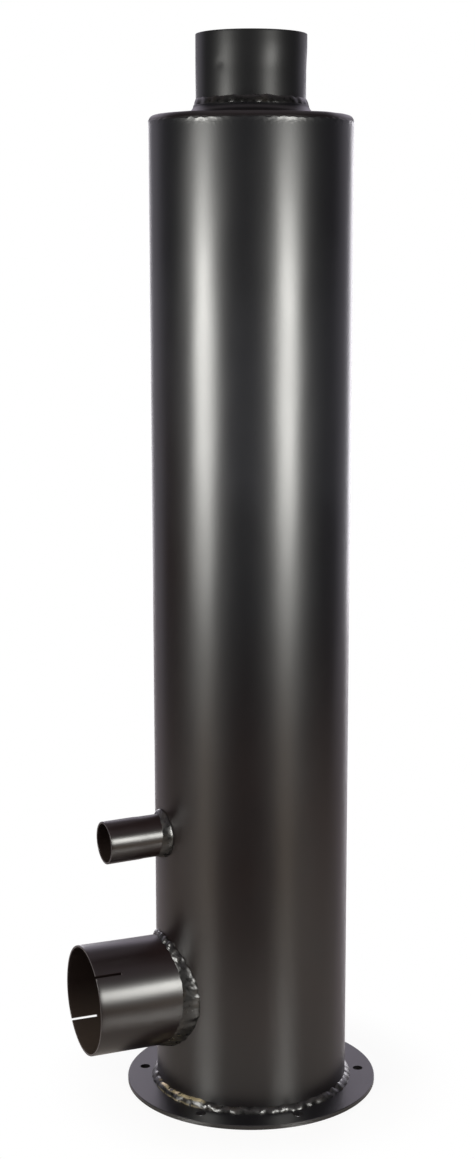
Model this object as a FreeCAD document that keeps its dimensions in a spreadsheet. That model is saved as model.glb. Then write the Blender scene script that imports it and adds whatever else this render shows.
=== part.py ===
import FreeCAD, Part
import math
import os
import Sketcher

# Upright tractor exhaust silencer, in millimetres.
# +Z is up and the origin is the middle of the base flange's underside.
# The front of the part is towards -Y, where the close pair of front bolt holes is.
# The two side pipes point to the left, a little towards the front.
# Gas enters the slotted side inlet, rises through a nozzle into the perforated core
# tube and leaves by the outlet stub on top. The jet in the nozzle's mouth draws dust
# and air in through the small side pipe above the inlet.

SIZES = {
    # Rolled outer shell
    "shell_radius": 94.0,
    "shell_wall": 1.5,
    "shell_length": 921.5,
    # Base flange and its six bolt holes, on a circle set out from the shell
    "base_thickness": 4.5,
    "base_edge_break": 0.5,
    "bolt_standoff": 14.0,
    "bolt_edge": 15.5,
    "bolt_hole_radius": 5.0,
    "front_bolt_angle": 25.5,
    "side_bolt_angle": 5.8,
    "drain_hole_radius": 3.0,
    "drain_hole_inset": 30.5,
    # Pressed top cap with a raised neck
    "cap_height": 10.6,
    "cap_wall": 1.5,
    "cap_shoulder_round": 5.6,
    "neck_height": 9.0,
    "neck_gap": 1.0,
    "neck_flare": 1.9,
    "neck_root_round": 2.0,
    # Outlet stub, whose free end is sized for its mate
    "outlet_radius": 50.25,
    "outlet_wall": 2.0,
    "outlet_stub": 71.8,
    "outlet_tail": 16.0,
    "outlet_rim_round": 0.6,
    "outlet_end_radius": 50.8,
    "outlet_end_length": 26.0,
    "outlet_end_lead": 8.0,
    # Side inlet, whose mouth is slotted for a band clamp
    "inlet_radius": 53.1,
    "inlet_wall": 2.0,
    "inlet_height": 107.4,
    "inlet_projection": 80.8,
    "inlet_entry": 28.0,
    "side_pipe_angle": 24.0,
    "slot_width": 2.5,
    "slot_depth": 26.0,
    "slot_lean": 47.0,
    # Small side pipe that draws dust and air in, whose free end is sized for its hose
    "suction_pipe_radius": 20.1,
    "suction_pipe_wall": 2.0,
    "suction_end_radius": 20.4,
    "suction_end_length": 32.0,
    "suction_end_lead": 5.0,
    "suction_pipe_height": 267.1,
    "suction_pipe_projection": 59.9,
    "suction_pipe_entry": 14.0,
    "suction_pipe_swing": 2.1,
    "suction_pipe_droop": 1.0,
    # Weld beads
    "base_weld_leg": 5.6,
    "base_weld_belly": 3.4,
    "inlet_weld_leg": 6.0,
    "suction_weld_leg": 4.5,
    "outlet_weld_height": 6.5,
    "outlet_weld_belly": 2.0,
    "cap_weld_height": 8.0,
    "cap_weld_crown": 1.0,
    "cap_weld_flat": 3.2,
    "seam_width": 5.0,
    "seam_crown": 0.7,
    "core_weld_height": 4.0,
    # Pressed plates inside, and the gaps left for assembly
    "plate_wall": 1.5,
    "plate_rim": 10.0,
    "plate_bend": 3.0,
    "fit_gap": 0.3,
    # Nozzle and the plate that carries it
    "nozzle_plate_height": 205.0,
    "nozzle_wall": 1.5,
    "nozzle_foot_radius": 70.0,
    "nozzle_base_radius": 56.0,
    "nozzle_lip_radius": 37.0,
    "nozzle_cone_height": 92.0,
    "nozzle_lip_height": 14.0,
    # Core tube with a bell mouth, and its baffles
    "core_wall": 1.5,
    "core_overlap": 20.0,
    "bell_radius": 58.0,
    "bell_height": 20.0,
    "bell_bend": 12.0,
    "suction_plate_height": 330.0,
    "middle_baffle_height": 640.0,
    "upper_baffle_drop": 36.0,
    # Perforations in the core tube
    "perforation_radius": 4.5,
    "perforation_margin": 35.0,
}
PERFORATION_ROWS = 9
HOLES_PER_ROW = 8

doc = FreeCAD.newDocument("Silencer")
sheet = doc.addObject("Spreadsheet::Sheet", "Sizes")
for row, (alias, number) in enumerate(SIZES.items(), start=1):
    sheet.set(f"A{row}", alias.replace("_", " "))
    sheet.set(f"B{row}", str(number))
    sheet.setAlias(f"B{row}", alias)
doc.recompute()

NODES = []


def bound(expression):
    """Return an expression with every size name pointed at the sheet."""
    words = []
    word = ""
    for letter in expression + " ":
        if letter.isalnum() or letter in "_.":
            word += letter
            continue
        words.append(f"Sizes.{word}" if word in SIZES else word)
        words.append(letter)
        word = ""
    return "".join(words).strip()


def value(expression):
    """Work out an expression of size names as a plain number."""
    return float(sheet.evalExpression(bound(expression)))


def bind(target, path, expression):
    """Tie one property of an object to the sheet."""
    target.setExpression(path, bound(expression))


def new_body(label, is_node=True):
    """Add a body, which becomes one named node unless it is only a helper."""
    body = doc.addObject("PartDesign::Body", f"{label}_body")
    body.Label = label
    if is_node:
        NODES.append(body)
    return body


def new_sketch(body, name, role):
    """Add a sketch on one of the body's own origin planes."""
    planes = {feature.Role: feature for feature in body.Origin.OriginFeatures}
    sketch = body.newObject("Sketcher::SketchObject", f"{body.Label}_{name}")
    sketch.AttachmentSupport = [(planes[role], "")]
    sketch.MapMode = "FlatFace"
    return sketch


def place_point(sketch, element, point, name, across, up):
    """Hold one point of a sketch at an across and an up expression."""
    for kind, letter, expression in (("DistanceX", "x", across), ("DistanceY", "y", up)):
        number = sketch.addConstraint(
            Sketcher.Constraint(kind, -1, 1, element, point, value(expression))
        )
        sketch.renameConstraint(number, f"{name}_{letter}")
        bind(sketch, f"Constraints.{name}_{letter}", expression)


def draw_outline(sketch, corners):
    """Draw a closed outline through corners given as pairs of expressions."""
    points = [FreeCAD.Vector(value(across), value(up), 0) for across, up in corners]
    count = len(points)
    for index, point in enumerate(points):
        sketch.addGeometry(Part.LineSegment(point, points[(index + 1) % count]))
    for index in range(count):
        following = (index + 1) % count
        sketch.addConstraint(Sketcher.Constraint("Coincident", index, 2, following, 1))
    for index, (across, up) in enumerate(corners):
        place_point(sketch, index, 1, f"corner{index}", across, up)


def draw_circle(sketch, name, across, up, radius):
    """Draw a circle whose centre and radius are expressions; None is on the axis."""
    centre = FreeCAD.Vector(
        0 if across is None else value(across), 0 if up is None else value(up), 0
    )
    circle = Part.Circle(centre, FreeCAD.Vector(0, 0, 1), value(radius))
    element = sketch.addGeometry(circle)
    if across is None and up is None:
        sketch.addConstraint(Sketcher.Constraint("Coincident", element, 3, -1, 1))
    elif across is None:
        sketch.addConstraint(Sketcher.Constraint("PointOnObject", element, 3, -2))
        number = sketch.addConstraint(
            Sketcher.Constraint("DistanceY", -1, 1, element, 3, value(up))
        )
        sketch.renameConstraint(number, f"{name}_y")
        bind(sketch, f"Constraints.{name}_y", up)
    else:
        place_point(sketch, element, 3, name, across, up)
    number = sketch.addConstraint(Sketcher.Constraint("Radius", element, value(radius)))
    sketch.renameConstraint(number, f"{name}_radius")
    bind(sketch, f"Constraints.{name}_radius", radius)


def turn(label, corners):
    """Turn an outline of radius and height expressions about the silencer's axis."""
    body = new_body(label)
    sketch = new_sketch(body, "outline", "XZ_Plane")
    draw_outline(sketch, corners)
    revolution = body.newObject("PartDesign::Revolution", f"{label}_turned")
    revolution.Profile = sketch
    revolution.ReferenceAxis = (sketch, ["V_Axis"])
    revolution.Angle = 360.0
    doc.recompute()
    return body


def ring_edges(shape, rings):
    """Find the circular edges about the axis at each pair of radius and height."""
    names = []
    for number, edge in enumerate(shape.Edges, start=1):
        curve = edge.Curve
        if not isinstance(curve, Part.Circle):
            continue
        for radius, height in rings:
            near_radius = abs(curve.Radius - value(radius)) < 1e-4
            if near_radius and abs(curve.Center.z - value(height)) < 1e-4:
                names.append(f"Edge{number}")
    return names


def round_edges(body, name, radius, rings):
    """Round the ring edges of a turned body's last feature."""
    fillet = body.newObject("PartDesign::Fillet", f"{body.Label}_{name}")
    base = fillet.BaseFeature if fillet.BaseFeature else body.Tip
    fillet.Base = (base, ring_edges(base.Shape, rings))
    bind(fillet, "Radius", radius)
    doc.recompute()


def cut_through(body, name, sketch, reverse=False, sides="One side"):
    """Cut a sketch right through a body and check that it removed material."""
    before = body.Shape.Volume
    pocket = body.newObject("PartDesign::Pocket", f"{body.Label}_{name}")
    pocket.Profile = sketch
    pocket.Type = "ThroughAll"
    pocket.Reversed = reverse
    pocket.SideType = sides
    doc.recompute()
    if body.Shape.Volume > before - 1.0:
        raise ValueError(f"{pocket.Name} cuts nothing")
    return pocket


# Levels and radii that several pieces share
SHELL_TOP = "(base_thickness + shell_length)"
CAP_TOP = "(base_thickness + shell_length + cap_height)"
SHELL_BORE = "(shell_radius - shell_wall)"
BOLT_CIRCLE = "(shell_radius + bolt_standoff)"
BASE_RADIUS = "(shell_radius + bolt_standoff + bolt_edge)"
INLET_REACH = "(shell_radius + inlet_projection)"
SUCTION_REACH = "(shell_radius + suction_pipe_projection)"
NECK_BORE = "(outlet_radius + neck_gap)"
CORE_RADIUS = "(outlet_radius - outlet_wall - fit_gap)"
CORE_TOP = f"({CAP_TOP} - outlet_tail + core_overlap)"
OUTLET_TOP = f"({CAP_TOP} + outlet_stub)"


def make_base_flange():
    """Round plate with a front pair, a back pair and two side bolt holes."""
    body = new_body("base_flange")
    disc = new_sketch(body, "disc", "XY_Plane")
    draw_circle(disc, "rim", None, None, BASE_RADIUS)
    plate = body.newObject("PartDesign::Pad", "base_flange_plate")
    plate.Profile = disc
    bind(plate, "Length", "base_thickness")
    doc.recompute()
    holes = new_sketch(body, "holes", "XY_Plane")
    front_across = f"{BOLT_CIRCLE} * sin(front_bolt_angle * 1deg)"
    front_along = f"{BOLT_CIRCLE} * cos(front_bolt_angle * 1deg)"
    side_across = f"{BOLT_CIRCLE} * cos(side_bolt_angle * 1deg)"
    side_along = f"{BOLT_CIRCLE} * sin(side_bolt_angle * 1deg)"
    for end, end_sign in (("front", "-1"), ("back", "1")):
        for hand, hand_sign in (("left", "-1"), ("right", "1")):
            draw_circle(
                holes,
                f"{end}_{hand}",
                f"{hand_sign} * {front_across}",
                f"{end_sign} * {front_along}",
                "bolt_hole_radius",
            )
    for hand, hand_sign in (("left", "-1"), ("right", "1")):
        draw_circle(
            holes, f"side_{hand}", f"{hand_sign} * {side_across}", side_along, "bolt_hole_radius"
        )
    draw_circle(holes, "drain", None, f"drain_hole_inset - {SHELL_BORE}", "drain_hole_radius")
    cut_through(body, "holes_cut", holes, reverse=True)
    rings = ((BASE_RADIUS, "0"), (BASE_RADIUS, "base_thickness"))
    chamfer = body.newObject("PartDesign::Chamfer", "base_flange_edge_break")
    cut = chamfer.BaseFeature if chamfer.BaseFeature else body.Tip
    chamfer.Base = (cut, ring_edges(cut.Shape, rings))
    bind(chamfer, "Size", "base_edge_break")
    doc.recompute()
    return body


def make_shell():
    """Rolled tube with a hole for each side pipe, turned so that they face left."""
    body = turn(
        "shell",
        (
            (SHELL_BORE, "base_thickness"),
            ("shell_radius", "base_thickness"),
            ("shell_radius", SHELL_TOP),
            (SHELL_BORE, SHELL_TOP),
        ),
    )
    inlet_hole = new_sketch(body, "inlet_hole", "YZ_Plane")
    draw_circle(inlet_hole, "hole", None, "inlet_height", "inlet_radius + fit_gap")
    cut_through(body, "inlet_cut", inlet_hole)
    suction_hole = new_sketch(body, "suction_hole", "YZ_Plane")
    draw_circle(suction_hole, "hole", None, None, "suction_pipe_radius + fit_gap")
    bind(suction_hole, "AttachmentOffset.Base.y", "suction_pipe_height")
    bind(suction_hole, "AttachmentOffset.Rotation.Pitch", "suction_pipe_swing * 1deg")
    bind(suction_hole, "AttachmentOffset.Rotation.Roll", "-1 * suction_pipe_droop * 1deg")
    cut_through(body, "suction_cut", suction_hole)
    bind(body, "Placement.Rotation.Yaw", "side_pipe_angle * 1deg")
    return body


def make_top_cap():
    """Pressed cap with a rounded shoulder and a neck that narrows upwards."""
    neck_top = f"({CAP_TOP} + neck_height)"
    neck_foot = f"({NECK_BORE} + neck_flare)"
    inner_level = f"({CAP_TOP} - cap_wall)"
    body = turn(
        "top_cap",
        (
            (SHELL_BORE, SHELL_TOP),
            ("shell_radius", SHELL_TOP),
            ("shell_radius", CAP_TOP),
            (f"{neck_foot} + cap_wall", CAP_TOP),
            (f"{NECK_BORE} + cap_wall", neck_top),
            (NECK_BORE, neck_top),
            (neck_foot, inner_level),
            (SHELL_BORE, inner_level),
        ),
    )
    round_edges(body, "shoulder", "cap_shoulder_round", (("shell_radius", CAP_TOP),))
    round_edges(
        body, "inner_shoulder", "cap_shoulder_round - cap_wall", ((SHELL_BORE, inner_level),)
    )
    round_edges(body, "neck_root", "neck_root_round", ((f"{neck_foot} + cap_wall", CAP_TOP),))
    round_edges(
        body, "neck_lead", "neck_root_round + cap_wall", ((neck_foot, inner_level),)
    )
    return body


def make_outlet_pipe():
    """Outlet stub that passes down through the neck and widens to its sized end."""
    foot = f"{CAP_TOP} - outlet_tail"
    end_foot = f"{OUTLET_TOP} - outlet_end_length"
    lead_foot = f"{end_foot} - outlet_end_lead"
    inner = "outlet_radius - outlet_wall"
    end_inner = "outlet_end_radius - outlet_wall"
    body = turn(
        "outlet_pipe",
        (
            (inner, foot),
            ("outlet_radius", foot),
            ("outlet_radius", lead_foot),
            ("outlet_end_radius", end_foot),
            ("outlet_end_radius", OUTLET_TOP),
            (end_inner, OUTLET_TOP),
            (end_inner, end_foot),
            (inner, lead_foot),
        ),
    )
    rims = (("outlet_end_radius", OUTLET_TOP), (end_inner, OUTLET_TOP))
    round_edges(body, "rim", "outlet_rim_round", rims)
    return body


def make_side_rod(body, radii, reach, inner_end):
    """Pad concentric circles along the body's own -X, from the mouth to the inner end."""
    section = new_sketch(body, "section", "YZ_Plane")
    for number, radius in enumerate(radii):
        draw_circle(section, f"circle{number}", None, None, radius)
    bind(section, "AttachmentOffset.Base.z", f"-1 * {reach}")
    rod = body.newObject("PartDesign::Pad", f"{body.Label}_rod")
    rod.Profile = section
    bind(rod, "Length", f"{reach} - {inner_end}")
    doc.recompute()


def place_as_inlet(body):
    """Put a body that lies along its own -X on the inlet's axis."""
    bind(body, "Placement.Base.z", "inlet_height")
    bind(body, "Placement.Rotation.Yaw", "side_pipe_angle * 1deg")


def place_as_suction_pipe(body):
    """Put a body that lies along its own -X on the small side pipe's axis."""
    bind(body, "Placement.Base.z", "suction_pipe_height")
    bind(body, "Placement.Rotation.Yaw", "(side_pipe_angle + suction_pipe_swing) * 1deg")
    bind(body, "Placement.Rotation.Pitch", "-1 * suction_pipe_droop * 1deg")


def make_inlet_pipe():
    """Side inlet whose mouth has two opposite saw slots with round ends."""
    body = new_body("inlet_pipe")
    radii = ("inlet_radius", "inlet_radius - inlet_wall")
    make_side_rod(body, radii, INLET_REACH, "(shell_radius - inlet_entry)")
    slot = new_sketch(body, "slot", "XY_Plane")
    half = value("slot_width") / 2
    mouth = -value(INLET_REACH)
    stop = mouth + value("slot_depth") - half
    outer = mouth - half
    corners = ((stop, half), (outer, half), (outer, -half), (stop, -half))
    points = [FreeCAD.Vector(across, up, 0) for across, up in corners]
    for index in range(3):
        slot.addGeometry(Part.LineSegment(points[index], points[index + 1]))
    end_arc = Part.Circle(FreeCAD.Vector(stop, 0, 0), FreeCAD.Vector(0, 0, 1), half)
    slot.addGeometry(Part.ArcOfCircle(end_arc, -math.pi / 2, math.pi / 2))
    for index in range(2):
        slot.addConstraint(Sketcher.Constraint("Coincident", index, 2, index + 1, 1))
    slot.addConstraint(Sketcher.Constraint("Coincident", 2, 2, 3, 1))
    slot.addConstraint(Sketcher.Constraint("Coincident", 3, 2, 0, 1))
    far_side = f"-1 * {INLET_REACH} - slot_width / 2"
    near_end = f"slot_depth - {INLET_REACH} - slot_width / 2"
    place_point(slot, 0, 2, "outer_high", far_side, "slot_width / 2")
    place_point(slot, 1, 2, "outer_low", far_side, "-1 * slot_width / 2")
    place_point(slot, 0, 1, "inner_high", near_end, "slot_width / 2")
    place_point(slot, 2, 2, "inner_low", near_end, "-1 * slot_width / 2")
    centre = slot.addConstraint(Sketcher.Constraint("DistanceX", -1, 1, 3, 3, stop))
    slot.renameConstraint(centre, "end_centre")
    bind(slot, "Constraints.end_centre", near_end)
    bind(slot, "AttachmentOffset.Rotation.Roll", "slot_lean * 1deg")
    cut_through(body, "slots", slot, sides="Symmetric")
    place_as_inlet(body)
    doc.recompute()
    return body


def make_suction_pipe():
    """Small side pipe with a sized end, swung a little to the front and drooping."""
    body = new_body("suction_pipe")
    sketch = new_sketch(body, "outline", "XZ_Plane")
    mouth = f"-1 * {SUCTION_REACH}"
    end_foot = f"{mouth} + suction_end_length"
    lead_foot = f"{end_foot} + suction_end_lead"
    inner_end = "suction_pipe_entry - shell_radius"
    corners = (
        (inner_end, "suction_pipe_radius"),
        (lead_foot, "suction_pipe_radius"),
        (end_foot, "suction_end_radius"),
        (mouth, "suction_end_radius"),
        (mouth, "suction_end_radius - suction_pipe_wall"),
        (end_foot, "suction_end_radius - suction_pipe_wall"),
        (lead_foot, "suction_pipe_radius - suction_pipe_wall"),
        (inner_end, "suction_pipe_radius - suction_pipe_wall"),
    )
    draw_outline(sketch, corners)
    revolution = body.newObject("PartDesign::Revolution", "suction_pipe_turned")
    revolution.Profile = sketch
    revolution.ReferenceAxis = (sketch, ["H_Axis"])
    revolution.Angle = 360.0
    place_as_suction_pipe(body)
    doc.recompute()
    return body


def saddle_edges(shape, axis_point, axis, radius):
    """Find the edges where a side tube's outside meets the shell's outside."""
    names = []
    for number, edge in enumerate(shape.Edges, start=1):
        points = edge.discretize(9)
        on_shell = all(abs(math.hypot(p.x, p.y) - value("shell_radius")) < 1e-3 for p in points)
        reach = [((p - axis_point).cross(axis)).Length for p in points]
        if on_shell and all(abs(distance - radius) < 1e-3 for distance in reach):
            names.append(number)
    return names


def make_saddle_weld(label, radius, reach, leg, place):
    """Fillet bead that follows the saddle-shaped joint of a side pipe and the shell."""
    shell_outside = doc.addObject("Part::Cylinder", f"{label}_shell_outside")
    bind(shell_outside, "Radius", "shell_radius")
    bind(shell_outside, "Height", SHELL_TOP)
    pipe_outside = new_body(f"{label}_pipe_outside", is_node=False)
    make_side_rod(pipe_outside, (radius,), reach, "0")
    place(pipe_outside)
    joined = doc.addObject("Part::Fuse", f"{label}_joined")
    joined.Base = shell_outside
    joined.Tool = pipe_outside
    doc.recompute()
    axis = pipe_outside.Placement.Rotation.multVec(FreeCAD.Vector(-1, 0, 0))
    edges = saddle_edges(joined.Shape, pipe_outside.Placement.Base, axis, value(radius))
    filled = doc.addObject("Part::Chamfer", f"{label}_filled")
    filled.Base = joined
    filled.Edges = [(number, value(leg), value(leg)) for number in edges]
    doc.recompute()
    bead = doc.addObject("Part::Cut", f"{label}_bead")
    bead.Base = filled
    bead.Tool = joined
    bead.Label = label
    doc.recompute()
    NODES.append(bead)
    return bead


def make_base_weld():
    """Fillet bead between the shell's foot and the base flange."""
    return turn(
        "base_weld",
        (
            ("shell_radius", "base_thickness"),
            ("shell_radius + base_weld_leg", "base_thickness"),
            ("shell_radius + base_weld_belly", "base_thickness + base_weld_belly"),
            ("shell_radius", "base_thickness + base_weld_leg"),
        ),
    )


def make_outlet_weld():
    """Bead that fills the corner between the neck's rim and the outlet stub."""
    rim = f"({CAP_TOP} + neck_height)"
    return turn(
        "outlet_weld",
        (
            ("outlet_radius", rim),
            (f"{NECK_BORE} + cap_wall", rim),
            ("outlet_radius + outlet_weld_belly", f"{rim} + outlet_weld_height / 2"),
            ("outlet_radius", f"{rim} + outlet_weld_height"),
        ),
    )


def make_cap_weld():
    """Low crowned bead round the joint of the shell and the top cap."""
    low = f"{SHELL_TOP} - cap_weld_height / 2"
    high = f"{SHELL_TOP} + cap_weld_height / 2"
    return turn(
        "cap_weld",
        (
            ("shell_radius", low),
            ("shell_radius + cap_weld_crown", f"{SHELL_TOP} - cap_weld_flat / 2"),
            ("shell_radius + cap_weld_crown", f"{SHELL_TOP} + cap_weld_flat / 2"),
            ("shell_radius", high),
        ),
    )


def make_shell_seam():
    """Lengthwise bead where the rolled sheet's edges meet, opposite the side pipes."""
    body = new_body("shell_seam")
    radius = value("shell_radius")
    half_width = value("seam_width") / 2
    crown = radius + value("seam_crown")
    step_back = math.sqrt(radius**2 - half_width**2)
    ends = (FreeCAD.Vector(step_back, -half_width, 0), FreeCAD.Vector(step_back, half_width, 0))
    inner = Part.Arc(ends[0], FreeCAD.Vector(radius, 0, 0), ends[1])
    outer = Part.Arc(ends[0], FreeCAD.Vector(crown, 0, 0), ends[1])
    sketch = new_sketch(body, "section", "XY_Plane")
    sketch.addGeometry(inner)
    sketch.addGeometry(outer)
    sketch.addConstraint(Sketcher.Constraint("Coincident", 0, 1, 1, 1))
    sketch.addConstraint(Sketcher.Constraint("Coincident", 0, 2, 1, 2))
    sketch.addConstraint(Sketcher.Constraint("Coincident", 0, 3, -1, 1))
    rise = "(seam_crown + seam_width^2 / 8 / shell_radius)"
    for name, kind, elements, expression in (
        ("shell_radius", "Radius", (0,), "shell_radius"),
        ("low_end", "DistanceY", (-1, 1, 0, 1), "-1 * seam_width / 2"),
        ("high_end", "DistanceY", (-1, 1, 0, 2), "seam_width / 2"),
        ("bead_radius", "Radius", (1,), f"((seam_width / 2)^2 + {rise}^2) / 2 / {rise}"),
    ):
        constraint = Sketcher.Constraint(kind, *elements, value(expression))
        number = sketch.addConstraint(constraint)
        sketch.renameConstraint(number, name)
        bind(sketch, f"Constraints.{name}", expression)
    bind(sketch, "AttachmentOffset.Base.z", "base_thickness + base_weld_leg + fit_gap")
    bead = body.newObject("PartDesign::Pad", "shell_seam_bead")
    bead.Profile = sketch
    bind(bead, "Length", "shell_length - base_weld_leg - cap_weld_height / 2 - 2 * fit_gap")
    bind(body, "Placement.Rotation.Yaw", "side_pipe_angle * 1deg")
    doc.recompute()
    return body


def make_nozzle_plate():
    """Lower partition, whose rim is turned down along the shell."""
    rim = f"({SHELL_BORE} - fit_gap)"
    hole = "(nozzle_base_radius - nozzle_wall)"
    under = "(nozzle_plate_height - plate_wall)"
    foot = "nozzle_plate_height - plate_rim"
    body = turn(
        "nozzle_plate",
        (
            (hole, "nozzle_plate_height"),
            (rim, "nozzle_plate_height"),
            (rim, foot),
            (f"{rim} - plate_wall", foot),
            (f"{rim} - plate_wall", under),
            (hole, under),
        ),
    )
    round_edges(body, "bend", "plate_bend", ((rim, "nozzle_plate_height"),))
    round_edges(body, "inner_bend", "plate_bend - plate_wall", ((f"{rim} - plate_wall", under),))
    return body


def make_nozzle():
    """Spun cone on a flat foot, with a short straight lip."""
    foot = "nozzle_plate_height"
    cone_top = "nozzle_plate_height + nozzle_cone_height"
    lip_top = f"{cone_top} + nozzle_lip_height"
    return turn(
        "nozzle",
        (
            ("nozzle_base_radius - nozzle_wall", foot),
            ("nozzle_foot_radius", foot),
            ("nozzle_foot_radius", f"{foot} + nozzle_wall"),
            ("nozzle_base_radius", f"{foot} + nozzle_wall"),
            ("nozzle_lip_radius", cone_top),
            ("nozzle_lip_radius", lip_top),
            ("nozzle_lip_radius - nozzle_wall", lip_top),
            ("nozzle_lip_radius - nozzle_wall", cone_top),
        ),
    )


def make_collared_plate(label, height, way):
    """Pressed plate with a rim on the shell and a collar on the core, both one way."""
    rim = f"({SHELL_BORE} - fit_gap)"
    hole = f"({CORE_RADIUS} + fit_gap)"
    back = f"({height})"
    face = f"({height} + {way} * plate_wall)"
    edge = f"({height} + {way} * plate_rim)"
    body = turn(
        label,
        (
            (hole, back),
            (rim, back),
            (rim, edge),
            (f"{rim} - plate_wall", edge),
            (f"{rim} - plate_wall", face),
            (f"{hole} + plate_wall", face),
            (f"{hole} + plate_wall", edge),
            (hole, edge),
        ),
    )
    round_edges(body, "bends", "plate_bend", ((rim, back), (hole, back)))
    inner = ((f"{rim} - plate_wall", face), (f"{hole} + plate_wall", face))
    round_edges(body, "inner_bends", "plate_bend - plate_wall", inner)
    return body


def make_core_tube():
    """Straight tube with a bell mouth below and staggered rows of holes."""
    bell_top = "(suction_plate_height - plate_rim - core_weld_height - bell_bend)"
    bell_foot = f"({bell_top} - bell_height)"
    body = turn(
        "core_tube",
        (
            ("bell_radius - core_wall", bell_foot),
            ("bell_radius", bell_foot),
            (CORE_RADIUS, bell_top),
            (CORE_RADIUS, CORE_TOP),
            (f"{CORE_RADIUS} - core_wall", CORE_TOP),
            (f"{CORE_RADIUS} - core_wall", bell_top),
        ),
    )
    round_edges(body, "bell", "bell_bend", ((CORE_RADIUS, bell_top),))
    inner = ((f"{CORE_RADIUS} - core_wall", bell_top),)
    round_edges(body, "bell_inside", "bell_bend + core_wall", inner)
    packed = "(middle_baffle_height - suction_plate_height - 2 * perforation_margin)"
    pitch = f"{packed} / {PERFORATION_ROWS - 1}"
    for stagger in (0, 1):
        rows = new_sketch(body, f"rows{stagger}", "YZ_Plane")
        for row in range(stagger, PERFORATION_ROWS, 2):
            level = f"suction_plate_height + perforation_margin + {row} * {pitch}"
            draw_circle(rows, f"hole{row}", None, level, "perforation_radius")
        rows.AttachmentOffset = FreeCAD.Placement(
            FreeCAD.Vector(0, 0, 0),
            FreeCAD.Rotation(FreeCAD.Vector(0, 1, 0), stagger * 180.0 / HOLES_PER_ROW),
        )
        column = cut_through(body, f"column{stagger}", rows)
        ring = body.newObject("PartDesign::PolarPattern", f"core_tube_ring{stagger}")
        ring.Originals = [column]
        axes = {feature.Role: feature for feature in body.Origin.OriginFeatures}
        ring.Axis = (axes["Z_Axis"], [""])
        ring.Angle = 360.0
        ring.Occurrences = HOLES_PER_ROW
        body.Tip = ring
        doc.recompute()
    return body


def make_core_weld():
    """Bead under the suction plate's collar that joins it to the core tube."""
    collar_end = "(suction_plate_height - plate_rim)"
    return turn(
        "core_weld",
        (
            (CORE_RADIUS, collar_end),
            (CORE_RADIUS, f"{collar_end} - core_weld_height"),
            (f"{CORE_RADIUS} + fit_gap + plate_wall", collar_end),
        ),
    )


def make_packing():
    """Sleeve of packed wool between the core tube and the shell."""
    inner = f"{CORE_RADIUS} + fit_gap"
    outer = f"{SHELL_BORE} - fit_gap"
    foot = "suction_plate_height + fit_gap"
    top = "middle_baffle_height - fit_gap"
    return turn("packing", ((inner, foot), (outer, foot), (outer, top), (inner, top)))


make_base_flange()
make_shell()
make_top_cap()
make_outlet_pipe()
make_inlet_pipe()
make_suction_pipe()
make_base_weld()
make_cap_weld()
make_outlet_weld()
make_shell_seam()
make_saddle_weld(
    "inlet_weld", "inlet_radius", INLET_REACH, "inlet_weld_leg", place_as_inlet
)
make_saddle_weld(
    "suction_weld",
    "suction_pipe_radius",
    SUCTION_REACH,
    "suction_weld_leg",
    place_as_suction_pipe,
)
make_nozzle_plate()
make_nozzle()
make_collared_plate("suction_plate", "suction_plate_height", "-1")
make_collared_plate("middle_baffle", "middle_baffle_height", "1")
make_collared_plate("upper_baffle", f"{SHELL_TOP} - upper_baffle_drop", "1")
make_core_tube()
make_core_weld()
make_packing()
doc.recompute()

for item in doc.Objects:
    if "Invalid" in item.State or "Error" in item.State:
        raise ValueError(f"{item.Name} failed: {item.State}")
os.makedirs("parts", exist_ok=True)
for node in NODES:
    if node.Shape.isNull() or not node.Shape.isValid() or len(node.Shape.Solids) != 1:
        raise ValueError(f"{node.Label} isn't one sound solid")
for node in NODES:
    box = node.Shape.BoundBox
    node.Shape.exportStep(f"parts/{node.Label}.step")
    print(
        f"{node.Label}: {node.Shape.Volume / 1000:.1f} cm3,"
        f" z {box.ZMin:.1f} to {box.ZMax:.1f}, x {box.XMin:.1f} to {box.XMax:.1f}"
    )
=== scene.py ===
import logging
import math
from collections.abc import Callable
from dataclasses import dataclass
from enum import Enum
from functools import cache

import bmesh
import bpy
import numpy as np
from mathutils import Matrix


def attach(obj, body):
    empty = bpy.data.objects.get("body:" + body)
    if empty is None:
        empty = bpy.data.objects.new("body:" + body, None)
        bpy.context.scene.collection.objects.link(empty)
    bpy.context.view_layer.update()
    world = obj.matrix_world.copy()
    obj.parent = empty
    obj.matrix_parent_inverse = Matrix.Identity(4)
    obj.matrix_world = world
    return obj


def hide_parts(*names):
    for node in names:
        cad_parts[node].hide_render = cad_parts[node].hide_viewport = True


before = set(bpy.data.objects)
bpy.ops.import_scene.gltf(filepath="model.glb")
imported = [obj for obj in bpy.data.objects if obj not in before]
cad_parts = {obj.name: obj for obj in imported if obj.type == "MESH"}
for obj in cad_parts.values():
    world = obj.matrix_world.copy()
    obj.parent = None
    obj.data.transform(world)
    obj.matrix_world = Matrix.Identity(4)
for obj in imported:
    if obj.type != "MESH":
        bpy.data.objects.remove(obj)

# Looks of an upright tractor exhaust silencer, built round its CAD frame.
# Sizes in the classes are in millimetres and meshes are in metres. +Z is up, the
# silencer's axis is the Z axis and its front is towards -Y. The two side pipes point
# to the left, a little towards the front. Angles round the axis start at +X.

LOG = logging.getLogger("silencer")
MM = 0.001
TAU = 2.0 * math.pi
ROOT_BODY = "root"
INSIDE = "inside"
# Marks steel without paint on a bead, and a painted bronze reflection at its toe.
BARE_AND_REFLECTION = "bare_and_reflection"
PALE = (1.0, 0.995, 0.950)
COOL = (0.97, 0.95, 1.0)
WARM = (1.0, 0.80, 0.58)
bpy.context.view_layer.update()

# Sizes and heights that more than one piece has, in millimetres.
FLANGE_TOP = 4.5
SHELL_RADIUS = 94.0
SHELL_TOP = 926.0
SHEET = 1.5
NECK_TOP = 945.6
PIPE_WALL = 2.0
INLET_RADIUS = 53.1
SUCTION_RADIUS = 20.1

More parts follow.
